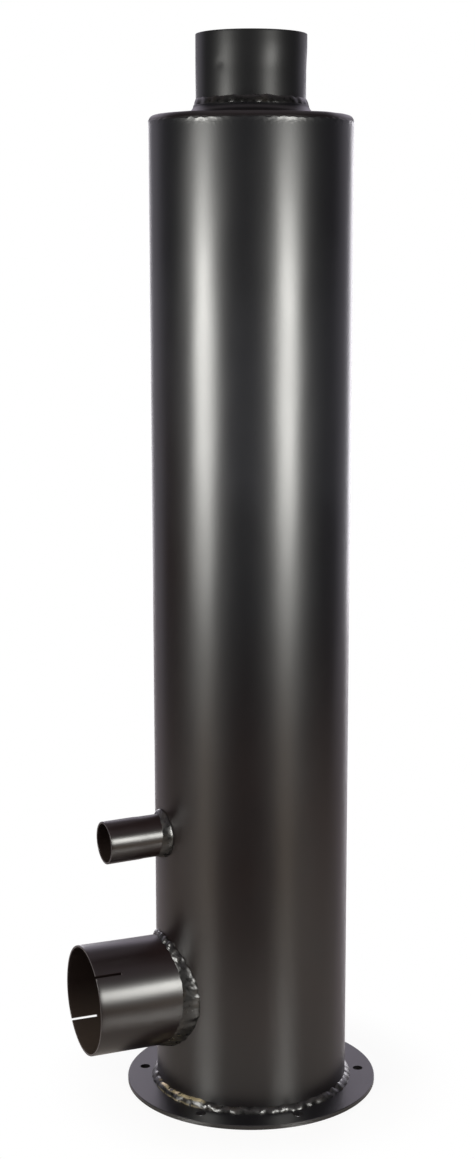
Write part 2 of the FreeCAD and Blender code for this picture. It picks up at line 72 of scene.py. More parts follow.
# The range that most values of a noise pattern lie in.
MOST_OF_NOISE = (0.3, 0.7)

# A triple is a place in x, y and z, or a colour in red, green and blue.
Pair = tuple[float, float]
Triple = tuple[float, float, float]
Socket = bpy.types.NodeSocket


class Slot(Enum):
    """The record's material slot names."""

    SHELL = "shell_paint"
    PIPE = "pipe_paint"
    FLANGE = "flange_paint"
    WELD = "weld_paint"


class RayKind(Enum):
    """Outputs of the Light Path node that tell what a ray is for."""

    CAMERA = "Is Camera Ray"
    TRANSMISSION = "Is Transmission Ray"


# Shapes


@dataclass(frozen=True)
class Wander:
    """Smooth unevenness that repeats round a closed path.

    It is a sum of cosines, each with a whole number of waves round the path, a phase
    and a weight from a seeded draw, scaled so that its root mean square is `size`.
    """

    seed: int
    fewest: int
    most: int
    size: float
    drift: float = 0.0

    def along(self, turn: np.ndarray, level: np.ndarray | float = 0.0) -> np.ndarray:
        """Works out the unevenness.

        Args:
            turn: place round the path, from 0 to 1, as an array of any shape.
            level: second place, along which each wave drifts by a seeded number of
                turns for each unit of it.

        Returns:
            The unevenness at each place.
        """
        draw = np.random.default_rng(self.seed)
        waves = np.arange(self.fewest, self.most + 1)
        phases = draw.uniform(0.0, TAU, waves.size)
        weights = draw.normal(0.0, 1.0, waves.size)
        drifts = draw.normal(0.0, 1.0, waves.size) * self.drift
        weights *= self.size / math.sqrt(float(np.sum(weights**2)) / 2.0)
        place = np.asarray(turn, float)[..., None]
        second = np.asarray(level, float)
        if second.ndim:
            second = second[..., None]
        return np.cos(TAU * (waves * place + drifts * second) + phases) @ weights


class Skin:
    """Points and faces of one closed mesh, gathered as whole arrays."""

    def __init__(self) -> None:
        """Starts with no points and no faces."""
        self._points: list[np.ndarray] = []
        self._quads: list[np.ndarray] = []
        self._polygons: list[list[int]] = []
        self._count = 0

    def add(self, points: np.ndarray) -> np.ndarray:
        """Stores points given in millimetres.

        Args:
            points: an array whose last axis is x, y and z.

        Returns:
            The points' numbers, in the shape of the array without its last axis.
        """
        shape = points.shape[:-1]
        numbers = self._count + np.arange(int(np.prod(shape))).reshape(shape)
        self._points.append(points.reshape(-1, 3) * MM)
        self._count += numbers.size
        return numbers

    def cover(
        self,
        numbers: np.ndarray,
        wrap_rows: bool = False,
        wrap_columns: bool = False,
        keep: np.ndarray | None = None,
    ) -> None:
        """Covers a grid of point numbers with four-sided faces.

        Args:
            numbers: the grid of point numbers.
            wrap_rows: whether the last row joins the first.
            wrap_columns: whether the last column joins the first.
            keep: which cells get a face, or None for all of them.
        """
        if wrap_rows:
            numbers = np.concatenate([numbers, numbers[:1]], axis=0)
        if wrap_columns:
            numbers = np.concatenate([numbers, numbers[:, :1]], axis=1)
        corners = (numbers[:-1, :-1], numbers[1:, :-1], numbers[1:, 1:], numbers[:-1, 1:])
        faces = np.stack(corners, axis=-1)
        self._quads.append(faces.reshape(-1, 4) if keep is None else faces[keep])

    def polygon(self, numbers: np.ndarray) -> None:
        """Adds one flat face with many corners."""
        self._polygons.append([int(n) for n in numbers])

    def open_edges(self) -> int:
        """Counts the edges that don't join exactly two faces.

        Returns:
            Their number, which is 0 for a closed mesh.
        """
        quads = np.concatenate(self._quads)
        pairs = [quads[:, [a, (a + 1) % 4]] for a in range(4)]
        for corners in self._polygons:
            pairs.append(np.stack([corners, np.roll(corners, -1)], axis=-1))
        edges = np.sort(np.concatenate(pairs), axis=1)
        times = np.unique(edges, axis=0, return_counts=True)[1]
        return int(np.count_nonzero(times != 2))

    def build(self, name: str, sharp_degrees: float = 50.0) -> bpy.types.Object:
        """Makes the mesh object, with its faces outwards and smooth shading.

        Args:
            name: the object's name.
            sharp_degrees: edges that turn by more than this stay sharp.

        Returns:
            The object, at the origin and linked to the scene.
        """
        LOG.info("%s: %d open edges", name, self.open_edges())
        mesh = bpy.data.meshes.new(name)
        faces = np.concatenate(self._quads).tolist() + self._polygons
        mesh.from_pydata(np.concatenate(self._points).tolist(), [], faces)
        work = bmesh.new()
        work.from_mesh(mesh)
        bmesh.ops.recalc_face_normals(work, faces=work.faces)
        work.to_mesh(mesh)
        work.free()
        mesh.polygons.foreach_set("use_smooth", np.ones(len(mesh.polygons), bool))
        mesh.set_sharp_from_angle(angle=math.radians(sharp_degrees))
        mesh.update()
        piece = bpy.data.objects.new(name, mesh)
        bpy.context.scene.collection.objects.link(piece)
        return piece


def arc(centre: Pair, radius: float, start: float, end: float, count: int) -> np.ndarray:
    """Points on an arc in the plane: the centre plus the radius times cosine and sine.

    Args:
        centre: the arc's centre.
        radius: its radius.
        start: the angle of its first point, in degrees.
        end: the angle of its last point, in degrees.
        count: how many points it has.

    Returns:
        An array of count pairs.
    """
    angle = np.radians(np.linspace(start, end, count))
    return np.stack(
        [centre[0] + radius * np.cos(angle), centre[1] + radius * np.sin(angle)], axis=-1
    )


def run(start: Pair, end: Pair, count: int) -> np.ndarray:
    """Evenly spaced points on the straight line from start to end, both included."""
    return np.linspace(start, end, count)


@dataclass(frozen=True)
class Axis:
    """A straight axis with two directions square to it, all in millimetres."""

    origin: Triple
    yaw: float
    droop: float = 0.0

    def directions(self) -> tuple[np.ndarray, np.ndarray, np.ndarray]:
        """Works out the axis's own three directions.

        Returns:
            The direction outwards along the axis, the one across it and the one up.
        """
        yaw, droop = math.radians(self.yaw), math.radians(self.droop)
        across = np.array([-math.sin(yaw), math.cos(yaw), 0.0])
        flat = np.array([-math.cos(yaw), -math.sin(yaw), 0.0])
        out = flat * math.cos(droop) - np.array([0.0, 0.0, math.sin(droop)])
        up = flat * math.sin(droop) + np.array([0.0, 0.0, math.cos(droop)])
        return out, across, up

    def place(self, reach: np.ndarray, radius: np.ndarray, angle: np.ndarray) -> np.ndarray:
        """Puts points round the axis.

        Each point is the origin, plus its reach along the axis, plus its radius times
        the cosine of its angle across the axis and the sine of it upwards.

        Args:
            reach: distance along the axis.
            radius: distance from the axis.
            angle: angle round the axis in radians, from across towards up.

        Returns:
            An array of points.
        """
        out, across, up = self.directions()
        return (
            np.array(self.origin)
            + reach[..., None] * out
            + (radius * np.cos(angle))[..., None] * across
            + (radius * np.sin(angle))[..., None] * up
        )


INLET_AXIS = Axis((0.0, 0.0, 107.4), 24.0)
SUCTION_AXIS = Axis((0.0, 0.0, 267.1), 26.1, 1.0)


def full_turn(count: int) -> np.ndarray:
    """Angles evenly spaced round a full turn, in radians, from 0."""
    return np.arange(count) * TAU / count


def upright(radius: np.ndarray, angle: np.ndarray, level: np.ndarray) -> np.ndarray:
    """Points round the silencer's axis: radius times cosine, radius times sine, level."""
    return np.stack(
        np.broadcast_arrays(radius * np.cos(angle), radius * np.sin(angle), level), axis=-1
    )


def turned_skin(angles: np.ndarray, radius: np.ndarray, level: np.ndarray) -> Skin:
    """Carries a closed profile round the silencer's axis.

    Args:
        angles: the angles round the axis, one for each column.
        radius: the profile's radii, one row for each profile point.
        level: its heights, in the same shape.

    Returns:
        The closed skin.
    """
    skin = Skin()
    numbers = skin.add(upright(radius, angles[None, :], level))
    skin.cover(numbers, wrap_rows=True, wrap_columns=True)
    return skin


@dataclass(frozen=True)
class HoleBlock:
    """A block of cells that a grid round the silencer's axis leaves out for a hole."""

    low: int
    high: int
    first: int
    last: int
    columns: int

    @classmethod
    def around(cls, rows: np.ndarray, span: Pair, columns: int, turn: Pair) -> "HoleBlock":
        """Finds the block that covers a span of the rows and a span of angles.

        Args:
            rows: the places of the grid's rows, rising.
            span: the lowest and the highest place to cover.
            columns: how many columns the grid has.
            turn: the first and the last angle to cover, in radians.

        Returns:
            The block.
        """
        low, high = np.searchsorted(rows, span)
        first, last = (int(round(angle / (TAU / columns))) for angle in turn)
        return cls(max(1, int(low)), int(high), first, last, columns)

    def rim(self) -> tuple[np.ndarray, np.ndarray]:
        """Lists the grid points round the block, in order.

        Returns:
            Their rows and their columns.
        """
        wide, tall = self.last - self.first, self.high - self.low
        across = np.arange(self.first, self.last + 1) % self.columns
        rows = (
            np.full(wide, self.low),
            np.arange(self.low, self.high),
            np.full(wide, self.high),
            np.arange(self.high, self.low, -1),
        )
        columns = (
            across[:-1], np.full(tall, across[-1]), across[:0:-1], np.full(tall, across[0])
        )
        return np.concatenate(rows), np.concatenate(columns)

    def fill(
        self,
        skin: Skin,
        numbers: np.ndarray,
        keep: np.ndarray,
        lines: tuple[np.ndarray, np.ndarray],
        rings: int,
        place: Callable[[np.ndarray], np.ndarray],
    ) -> np.ndarray:
        """Leaves out the block's cells and lays rings of cells round the hole instead.

        Their points lie on straight lines from the hole's edge to the block's rim.

        Args:
            skin: takes the points and faces.
            numbers: the grid of point numbers.
            keep: which of the grid's cells stay, where the block's are struck out.
            lines: the hole's edge and the block's rim, laid out flat, point for point.
            rings: how many rings of cells there are.
            place: turns points laid out flat into points in space.

        Returns:
            The numbers of the points on the hole's edge.
        """
        rows, columns = self.rim()
        keep[self.low : self.high, columns[: self.last - self.first]] = False
        share = np.linspace(0.0, 1.0, rings + 1)[:-1, None, None]
        laid = skin.add(place(lines[0][None] * (1.0 - share) + lines[1][None] * share))
        skin.cover(np.concatenate([laid, numbers[rows, columns][None]]), wrap_columns=True)
        return laid[0]


# Finishes


class NodeNet:
    """A node tree with short ways to add nodes to it and join them."""

    def __init__(self, tree: bpy.types.NodeTree) -> None:
        """Takes over a tree and clears it."""
        self.tree = tree
        self.tree.nodes.clear()

    def add(self, kind: str) -> bpy.types.Node:
        """Adds one node of a kind."""
        return self.tree.nodes.new(kind)

    def join(self, start: Socket, end: Socket) -> None:
        """Links an output socket to an input socket."""
        self.tree.links.new(start, end)

    def ramp(self, source: Socket, between: Pair, gives: Pair = (0.0, 1.0)) -> Socket:
        """Turns one range of a value smoothly into another.

        Args:
            source: the value.
            between: where the change starts and where it ends.
            gives: the result at its start and at its end.

        Returns:
            The result.
        """
        node = self.add("ShaderNodeMapRange")
        node.interpolation_type = "SMOOTHSTEP"
        names = ("From Min", "From Max", "To Min", "To Max")
        for name, number in zip(names, (*between, *gives)):
            node.inputs[name].default_value = number
        self.join(source, node.inputs["Value"])
        return node.outputs["Result"]

    def compute(self, operation: str, first: Socket, second: float | Socket) -> Socket:
        """Joins two values by one of the Math node's operations.

        Args:
            operation: the operation's name.
            first: the first value.
            second: the second value, or a plain number.

        Returns:
            The result.
        """
        node = self.add("ShaderNodeMath")
        node.operation = operation
        self.join(first, node.inputs[0])
        if isinstance(second, float):
            node.inputs[1].default_value = second
        else:
            self.join(second, node.inputs[1])
        return node.outputs["Value"]

    def product(self, first: Socket, second: float | Socket) -> Socket:
        """Multiplies two values."""
        return self.compute("MULTIPLY", first, second)

    def blend(self, share: Socket, first: Triple | Socket, second: Triple | Socket) -> Socket:
        """Mixes two colours.

        Args:
            share: how much of the second colour there is, from 0 to 1.
            first: the first colour.
            second: the second colour.

        Returns:
            The mixed colour.
        """
        node = self.add("ShaderNodeMix")
        node.data_type = "RGBA"
        self.join(share, node.inputs[0])
        for socket, colour in ((node.inputs[6], first), (node.inputs[7], second)):
            if isinstance(colour, tuple):
                socket.default_value = (*colour, 1.0)
            else:
                self.join(colour, socket)
        return node.outputs[2]


class Shader(NodeNet):
    """The node tree of one new material with a principled shader."""

    def __init__(self, name: str) -> None:
        """Makes a material that holds nothing but its output and a principled shader.

        Args:
            name: the material's name.
        """
        self.material = bpy.data.materials.new(name)
        self.material.use_nodes = True
        super().__init__(self.material.node_tree)
        self.output = self.add("ShaderNodeOutputMaterial")
        self.surface = self.add("ShaderNodeBsdfPrincipled")
        self.join(self.surface.outputs["BSDF"], self.output.inputs["Surface"])
        self.place = self.add("ShaderNodeTexCoord").outputs["Object"]

    def noise(
        self, scale: float, detail: float, stretch: Triple = (1.0, 1.0, 1.0)
    ) -> Socket:
        """Cloudy pattern on Object coordinates.

        Args:
            scale: how many clouds there are to a metre.
            detail: how many finer layers it has.
            stretch: how much closer the clouds lie along x, y and z.

        Returns:
            The pattern's value, about 0.5 on average.
        """
        mapping = self.add("ShaderNodeMapping")
        mapping.inputs["Scale"].default_value = stretch
        self.join(self.place, mapping.inputs["Vector"])
        texture = self.add("ShaderNodeTexNoise")
        texture.inputs["Scale"].default_value = scale
        texture.inputs["Detail"].default_value = detail
        self.join(mapping.outputs["Vector"], texture.inputs["Vector"])
        return texture.outputs["Fac"]

    def attribute(self, name: str) -> Socket:
        """Reads a number that is stored on the mesh's points.

        Args:
            name: the attribute's name.

        Returns:
            The number.
        """
        node = self.add("ShaderNodeAttribute")
        node.attribute_name = name
        return node.outputs["Fac"]

    def even(self, name: str, value: float) -> None:
        """Sets one of the shader's own values, the same all over."""
        self.surface.inputs[name].default_value = value

    def paint(self, colour: Socket) -> None:
        """Gives the surface its colour."""
        self.join(colour, self.surface.inputs["Base Color"])

    def roughen(self, pattern: Socket, low: float, high: float) -> None:
        """Lets the roughness follow a noise pattern, between two values."""
        self.join(
            self.ramp(pattern, MOST_OF_NOISE, (low, high)), self.surface.inputs["Roughness"]
        )

    def relief(self, pattern: Socket, depth: float) -> None:
        """Adds a bump from a pattern.

        Args:
            pattern: the pattern's value.
            depth: the height that a value of 1 stands for, in metres.
        """
        node = self.add("ShaderNodeBump")
        node.inputs["Distance"].default_value = depth
        self.join(pattern, node.inputs["Height"])
        self.join(node.outputs["Normal"], self.surface.inputs["Normal"])


@dataclass(frozen=True)
class BlackPaint:
    """Satin black paint: a little lighter in a band high up, and brown towards the left and the
    foot, which is painted warm light.

    The places are in metres, and each pair of them is where a smooth change starts and
    where it ends. Those of the lighter band and the foot are shifted up and down by the clouds.
    """

    name: str
    colour: Triple = (0.0054, 0.0054, 0.0069)
    deep: Triple = (0.0030, 0.0030, 0.0042)
    # A slightly lighter colour that a band high up takes.
    high_band: Triple = (0.0118, 0.0120, 0.0146)
    # The brown of the foot, the left side and the cap's edge; at the foot and on the left side
    # it is painted warm light.
    warm: Triple = (0.0068, 0.0030, 0.0026)
    # The inside's colour is a lighter brown: painted light that falls in through a pipe's
    # mouth.
    inside: Triple = (0.052, 0.039, 0.031)
    gloss_level: float = 0.80
    roughness: float = 0.345
    roughness_swing: float = 0.02
    smear_scale: float = 28.0
    peel_scale: float = 700.0
    peel_depth: float = 0.000010
    cloud_scale: float = 9.0
    cloud_lift: float = 0.16
    deep_rise: Pair = (0.52, 0.64)
    high_band_rise: Pair = (0.64, 0.71)
    high_band_fall: Pair = (0.80, 0.90)
    foot_fall: Pair = (0.60, 0.36)
    foot_rise: Pair = (0.03, 0.13)
    foot_least: float = 0.3
    left_spread: Pair = (-0.030, -0.075)
    left_share: float = 0.8
    left_fall: Pair = (0.86, 0.50)
    cap_rise: Pair = (0.930, 0.932)
    cap_fall: Pair = (0.938, 0.940)
    cloud_range: Pair = (0.35, 0.68)
    cloud_least: float = 0.6

    def outside(self, shader: Shader) -> Socket:
        """Mixes the colour of the outside.

        The brown share is the largest of three: the foot's, the left side's and that of
        the cap's pressed edge, each a product of smooth steps. The clouds thin it out. The
        foot's and the left side's brown is painted warm light.

        Args:
            shader: takes the nodes.

        Returns:
            The colour.
        """
        place = shader.add("ShaderNodeSeparateXYZ")
        shader.join(shader.place, place.inputs["Vector"])
        across, height = place.outputs["X"], place.outputs["Z"]
        clouds = shader.noise(self.cloud_scale, detail=3.0)
        lifted = shader.compute("ADD", height, shader.product(clouds, self.cloud_lift))
        # A slightly lighter band high up.
        in_high_band = shader.product(
            shader.ramp(lifted, self.high_band_rise), shader.ramp(lifted, self.high_band_fall, (1.0, 0.0))
        )
        # Brown at the foot and on the left side: painted warm light.
        foot = shader.product(
            shader.ramp(lifted, self.foot_fall),
            shader.ramp(height, self.foot_rise, (self.foot_least, 1.0)),
        )
        left = shader.product(
            shader.ramp(across, self.left_spread, (0.0, self.left_share)),
            shader.ramp(height, self.left_fall),
        )
        cap = shader.product(
            shader.ramp(height, self.cap_rise), shader.ramp(height, self.cap_fall, (1.0, 0.0))
        )
        brown = shader.compute("MAXIMUM", shader.compute("MAXIMUM", foot, left), cap)
        thinned = shader.product(
            brown, shader.ramp(clouds, self.cloud_range, (self.cloud_least, 1.0))
        )
        even = shader.blend(shader.ramp(lifted, self.deep_rise), self.deep, self.colour)
        return shader.blend(thinned, shader.blend(in_high_band, even, self.high_band), self.warm)

    @cache
    def material(self) -> bpy.types.Material:
        """Builds the paint. Where a pipe is marked as inside, it has the inside's lighter
        colour, painted light that falls in through the mouth.

        Returns:
            The material, the same one at every call.
        """
        shader = Shader(self.name)
        shader.even("Specular IOR Level", self.gloss_level)
        # Inside a pipe, the stored share mixes in the inside's colour, which is painted light.
        shader.paint(shader.blend(shader.attribute(INSIDE), self.outside(shader), self.inside))
        swing = self.roughness_swing / 2.0
        smears = shader.noise(self.smear_scale, detail=4.0, stretch=(1.0, 1.0, 0.45))
        shader.roughen(smears, self.roughness - swing, self.roughness + swing)
        shader.relief(shader.noise(self.peel_scale, detail=2.0), self.peel_depth)
        return shader.material


@dataclass(frozen=True)
class WeldPaint:
    """Black paint over a weld bead: glossy, thin in places, off it along a marked stretch, with
    a weaker straw band at a marked toe that is a painted bronze reflection.
    """

    name: str
    colour: Triple = (0.0060, 0.0058, 0.0056)
    thin: Triple = (0.042, 0.034, 0.027)
    thin_share: float = 0.35
    thin_scale: float = 90.0
    thin_range: Pair = (0.50, 0.66)
    straw: Triple = (0.86, 0.72, 0.44)
    torn_share: float = 0.8
    torn_scale: float = 200.0
    torn_range: Pair = (0.34, 0.46)
    gloss_level: float = 0.8
    roughness: Pair = (0.26, 0.41)
    roughness_scale: float = 220.0
    grain_scale: float = 460.0
    grain_depth: float = 0.00007

    @cache
    def material(self) -> bpy.types.Material:
        """Builds the paint, with thin patches and torn ones that show straw-coloured steel; at
        a marked toe the straw colour is a painted bronze reflection.

        Returns:
            The material, the same one at every call.
        """
        shader = Shader(self.name)
        shader.even("Specular IOR Level", self.gloss_level)
        patches = shader.ramp(
            shader.noise(self.thin_scale, detail=3.0), self.thin_range, (0.0, self.thin_share)
        )
        torn = shader.ramp(
            shader.noise(self.torn_scale, detail=2.0), self.torn_range, (0.0, self.torn_share)
        )
        # The mark holds steel without paint and, at a bead's toe, a painted bronze reflection.
        bare_and_reflection = shader.product(shader.attribute(BARE_AND_REFLECTION), torn)
        painted = shader.blend(patches, self.colour, self.thin)
        shader.paint(shader.blend(bare_and_reflection, painted, self.straw))
        shader.join(bare_and_reflection, shader.surface.inputs["Metallic"])
        shader.roughen(shader.noise(self.roughness_scale, detail=2.0), *self.roughness)
        shader.relief(shader.noise(self.grain_scale, detail=2.0), self.grain_depth)
        return shader.material


@dataclass(frozen=True)
class PlainSteel:
    """Pressed or rolled steel, unpainted, inside the silencer, with oil and scale on it."""

    name: str
    colour: Triple = (0.30, 0.29, 0.28)
    scale_colour: Triple = (0.13, 0.12, 0.12)
    patch_scale: float = 22.0
    patch_range: Pair = (0.42, 0.62)
    roughness: Pair = (0.34, 0.54)
    roughness_scale: float = 60.0
    rolling_scale: float = 350.0
    rolling_depth: float = 0.00003

    @cache
    def material(self) -> bpy.types.Material:
        """Builds the steel, with patches of scale and the long marks of rolling.

        Returns:
            The material, the same one at every call.
        """
        shader = Shader(self.name)
        shader.even("Metallic", 1.0)
        patches = shader.ramp(shader.noise(self.patch_scale, detail=5.0), self.patch_range)
        shader.paint(shader.blend(patches, self.colour, self.scale_colour))
        shader.roughen(shader.noise(self.roughness_scale, detail=4.0), *self.roughness)
        rolling = shader.noise(self.rolling_scale, detail=3.0, stretch=(1.0, 1.0, 0.15))
        shader.relief(rolling, self.rolling_depth)
        return shader.material


@dataclass(frozen=True)
class PackedWool:
    """Matted mineral wool."""

    name: str
    colour: Triple = (0.42, 0.36, 0.24)
    deep: Triple = (0.22, 0.18, 0.11)
    roughness: float = 0.95
    strand_scale: float = 260.0
    strand_range: Pair = (0.35, 0.65)
    strand_depth: float = 0.0012

    @cache
    def material(self) -> bpy.types.Material:
        """Builds the wool. One pattern gives the strands their colour and their relief.

        Returns:
            The material, the same one at every call.
        """
        shader = Shader(self.name)
        shader.even("Roughness", self.roughness)
        strands = shader.noise(self.strand_scale, detail=6.0, stretch=(1.0, 1.0, 3.5))
        shader.paint(
            shader.blend(shader.ramp(strands, self.strand_range), self.deep, self.colour)
        )
        shader.relief(strands, self.strand_depth)
        return shader.material


# Pieces


def dress(
    piece: bpy.types.Object, material: bpy.types.Material, node: str
) -> bpy.types.Object:
    """Gives a piece its finish, and lets it stand for its CAD node on the one body.

    Args:
        piece: the new object.
        material: its material.
        node: the CAD node that it replaces.

    Returns:
        The same piece.
    """
    piece.data.materials.append(material)
    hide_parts(node)
    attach(piece, ROOT_BODY)
    faces = sum(len(face.vertices) - 2 for face in piece.data.polygons)
    LOG.info("%s: %d triangles", piece.name, faces)
    return piece


def mark_inside(piece: bpy.types.Object, inside: np.ndarray, painted_inside_light: np.ndarray) -> None:
    """Stores how much painted light each point of a pipe has: its inside takes a lighter brown
    that stands in for light falling in through the mouth.

    Args:
        piece: the pipe, whose points run column by column along each profile row.
        inside: whether each profile row is on the inside.
        painted_inside_light: how much painted light each column has, from 0 to 1.
    """
    marks = piece.data.attributes.new(INSIDE, "FLOAT", "POINT")
    # Share of painted light: the inside rows times each column's share.
    share = inside.astype(np.float32)[:, None] * painted_inside_light.astype(np.float32)[None, :]
    marks.data.foreach_set("value", share.ravel())


@dataclass(frozen=True)
class SideHole:
    """A round hole that a side pipe makes in a wall round the silencer's axis.

    The block of cells round it reaches `spread` degrees to both sides and `rise` up
    and down.
    """

    yaw: float
    level: float
    radius: float
    spread: float
    rise: float

    def loop(self, wall_radius: float, turn: np.ndarray) -> np.ndarray:
        """The hole's edge on a wall, laid out flat.

        The point at an angle of the hole lies its radius times the sine above the
        hole's middle, and round the wall by the arcsine of its radius times the
        cosine, over the wall's radius.

        Args:
            wall_radius: radius of the wall that the hole is in.
            turn: the angles round the hole, in radians.

        Returns:
            Pairs of the angle round the silencer, in radians, and the height.
        """
        middle = math.radians(self.yaw)
        angle = middle + np.arcsin(self.radius * np.cos(turn) / wall_radius)
        return np.stack([angle, self.level + self.radius * np.sin(turn)], axis=-1)


@dataclass
class RolledShell:
    """The rolled shell, with a hole for each side pipe."""

    radius: float = SHELL_RADIUS
    wall: float = SHEET
    foot: float = FLANGE_TOP
    top: float = SHELL_TOP
    columns: int = 200
    rows: int = 150
    hole_rings: int = 7
    holes: tuple[SideHole, ...] = (
        SideHole(204.0, 107.4, 53.4, 42.0, 64.0),
        SideHole(206.1, 265.5, 20.4, 17.0, 30.0),
    )
    swell: Wander = Wander(11, 2, 7, 0.05, 1.2)
    ripple: Wander = Wander(12, 6, 22, 0.022, 5.0)
    even_top: float = 30.0
    even_foot: float = 20.0

    def surface(self, angle: np.ndarray, level: np.ndarray, radius: float) -> np.ndarray:
        """Puts the flat layout round the axis, with the sheet's gentle unevenness.

        Args:
            angle: angle round the axis, in radians.
            level: height.
            radius: the even radius of this side of the wall.

        Returns:
            Points with the radius changed by slow waves along and round the sheet.
        """
        turn = angle / TAU
        share = (level - self.foot) / (self.top - self.foot)
        swell = self.swell.along(turn, share)
        ripple = self.ripple.along(turn, share)
        fade = np.clip((self.top - level) / self.even_top, 0.0, 1.0) * np.clip(
            (level - self.foot) / self.even_foot, 0.0, 1.0
        )
        return upright(radius + (swell + ripple) * fade, angle, level)

    def side(
        self, skin: Skin, radius: float
    ) -> tuple[np.ndarray, np.ndarray, list[np.ndarray]]:
        """Lays one side of the wall: an even grid with a block of rings round each hole.

        Args:
            skin: takes the points and faces.
            radius: the even radius of this side.

        Returns:
            The numbers of the bottom row, of the top row and of each hole's edge.
        """

        def place(flat: np.ndarray) -> np.ndarray:
            """Puts points laid out flat on the wall."""
            return self.surface(flat[..., 0], flat[..., 1], radius)

        angles = np.arange(self.columns) * (TAU / self.columns)
        levels = np.linspace(self.foot, self.top, self.rows + 1)
        grid_levels, grid_angles = np.meshgrid(levels, angles, indexing="ij")
        numbers = skin.add(self.surface(grid_angles, grid_levels, radius))
        keep = np.ones((self.rows, self.columns), bool)
        edges = []
        for hole in self.holes:
            middle, spread = math.radians(hole.yaw), math.radians(hole.spread)
            block = HoleBlock.around(
                levels,
                (hole.level - hole.rise, hole.level + hole.rise),
                self.columns,
                (middle - spread, middle + spread),
            )
            rows, columns = block.rim()
            rim = np.stack([angles[columns], levels[rows]], axis=-1)
            up, across = rim[:, 1] - hole.level, rim[:, 0] - middle
            way = np.arctan2(up / hole.rise, across / spread)
            lines = (hole.loop(radius, way), rim)
            edges.append(block.fill(skin, numbers, keep, lines, self.hole_rings, place))
        skin.cover(numbers, wrap_columns=True, keep=keep)
        return numbers[0], numbers[-1], edges

    def build(self, finish: BlackPaint) -> bpy.types.Object:
        """Builds both sides of the wall and joins their edges.

        Args:
            finish: its paint.

        Returns:
            The finished piece.
        """
        skin = Skin()
        outer = self.side(skin, self.radius)
        inner = self.side(skin, self.radius - self.wall)
        for number in (0, 1):
            skin.cover(np.stack([outer[number], inner[number]]), wrap_columns=True)
        for outer_edge, inner_edge in zip(outer[2], inner[2]):
            skin.cover(np.stack([outer_edge, inner_edge]), wrap_columns=True)
        return dress(skin.build("Casing_rolled"), finish.material(), "shell")


@dataclass
class TopCap:
    """The pressed cap, with its rounded shoulder and flared neck."""

    radius: float = SHELL_RADIUS
    wall: float = SHEET
    foot: float = SHELL_TOP
    top: float = 936.6
    shoulder: float = 5.6
    neck_radius: float = 52.95
    neck_top: float = NECK_TOP
    bell_reach: float = 16.5
    bell_gap: float = 1.5
    shoulder_gap: float = 3.0
    inner_gap: float = 1.0
    rim_round: float = 0.35
    waves: Wander = Wander(21, 3, 24, 0.09)
    wave_start: Pair = (70.0, 927.0)
    wave_rise: Pair = (20.0, 8.0)
    columns: int = 288

    def bell(self, count: int) -> tuple[np.ndarray, np.ndarray]:
        """The neck's bell-shaped root, a quarter of an ellipse, and its inner side.

        The outer curve starts upright under the neck's rim and ends level on the cap's
        top. The inner one lies a wall's thickness from it, square to it.

        Args:
            count: how many points each curve has.

        Returns:
            The outer and the inner curve, both from the cap's top up to the neck.
        """
        turn = np.radians(np.linspace(90.0, 0.0, count))
        depth = self.neck_top - self.rim_round - self.top
        outer = np.stack(
            [
                self.neck_radius + self.bell_reach * (1.0 - np.cos(turn)),
                self.neck_top - self.rim_round - depth * np.sin(turn),
            ],
            axis=-1,
        )
        normal = np.stack(
            [depth * np.cos(turn), self.bell_reach * np.sin(turn)], axis=-1
        )
        normal /= np.linalg.norm(normal, axis=1, keepdims=True)
        return outer, outer - self.wall * normal

    def profile(self) -> np.ndarray:
        """Works out the cap's closed profile.

        Returns:
            Pairs of radius and height, anticlockwise from the outer foot.
        """
        outer_bell, inner_bell = self.bell(18)
        inner_top, inner_side = self.top - self.wall, self.radius - self.wall
        bore = self.neck_radius - self.wall
        rim = self.rim_round
        bell_foot = self.neck_radius + self.bell_reach + self.bell_gap
        bend = (self.radius - self.shoulder, self.top - self.shoulder)
        parts = [
            run((self.radius, self.foot), (self.radius, bend[1]), 5),
            arc(bend, self.shoulder, 0.0, 90.0, 12)[1:],
            run((bend[0] - self.shoulder_gap, self.top), (bell_foot, self.top), 5),
            outer_bell,
            arc((self.neck_radius - rim, self.neck_top - rim), rim, 25.0, 90.0, 4),
            arc((bore + rim, self.neck_top - rim), rim, 100.0, 160.0, 4),
            inner_bell[::-1],
            run((bell_foot, inner_top), (bend[0], inner_top), 5),
            arc(bend, self.shoulder - self.wall, 80.0, 0.0, 8),
            run((inner_side, bend[1] - self.inner_gap), (inner_side, self.foot), 3),
        ]
        return np.concatenate(parts)

    def build(self, finish: BlackPaint) -> bpy.types.Object:
        """Carries the profile round, with a slight waviness of the pressed shoulder.

        The waviness sets in from a radius and a height on, over a distance for each.

        Args:
            finish: its paint.

        Returns:
            The finished piece.
        """
        profile = self.profile()
        angles = full_turn(self.columns)
        turn = angles[None, :] / TAU
        radius = np.repeat(profile[:, :1], self.columns, axis=1)
        level = np.repeat(profile[:, 1:], self.columns, axis=1)
        wave = self.waves.along(turn)
        near, high = (
            np.clip((profile[:, k : k + 1] - self.wave_start[k]) / self.wave_rise[k], 0.0, 1.0)
            for k in (0, 1)
        )
        level = level + wave * near * high
        skin = turned_skin(angles, radius, level)
        return dress(skin.build("Cap_pressed"), finish.material(), "top_cap")


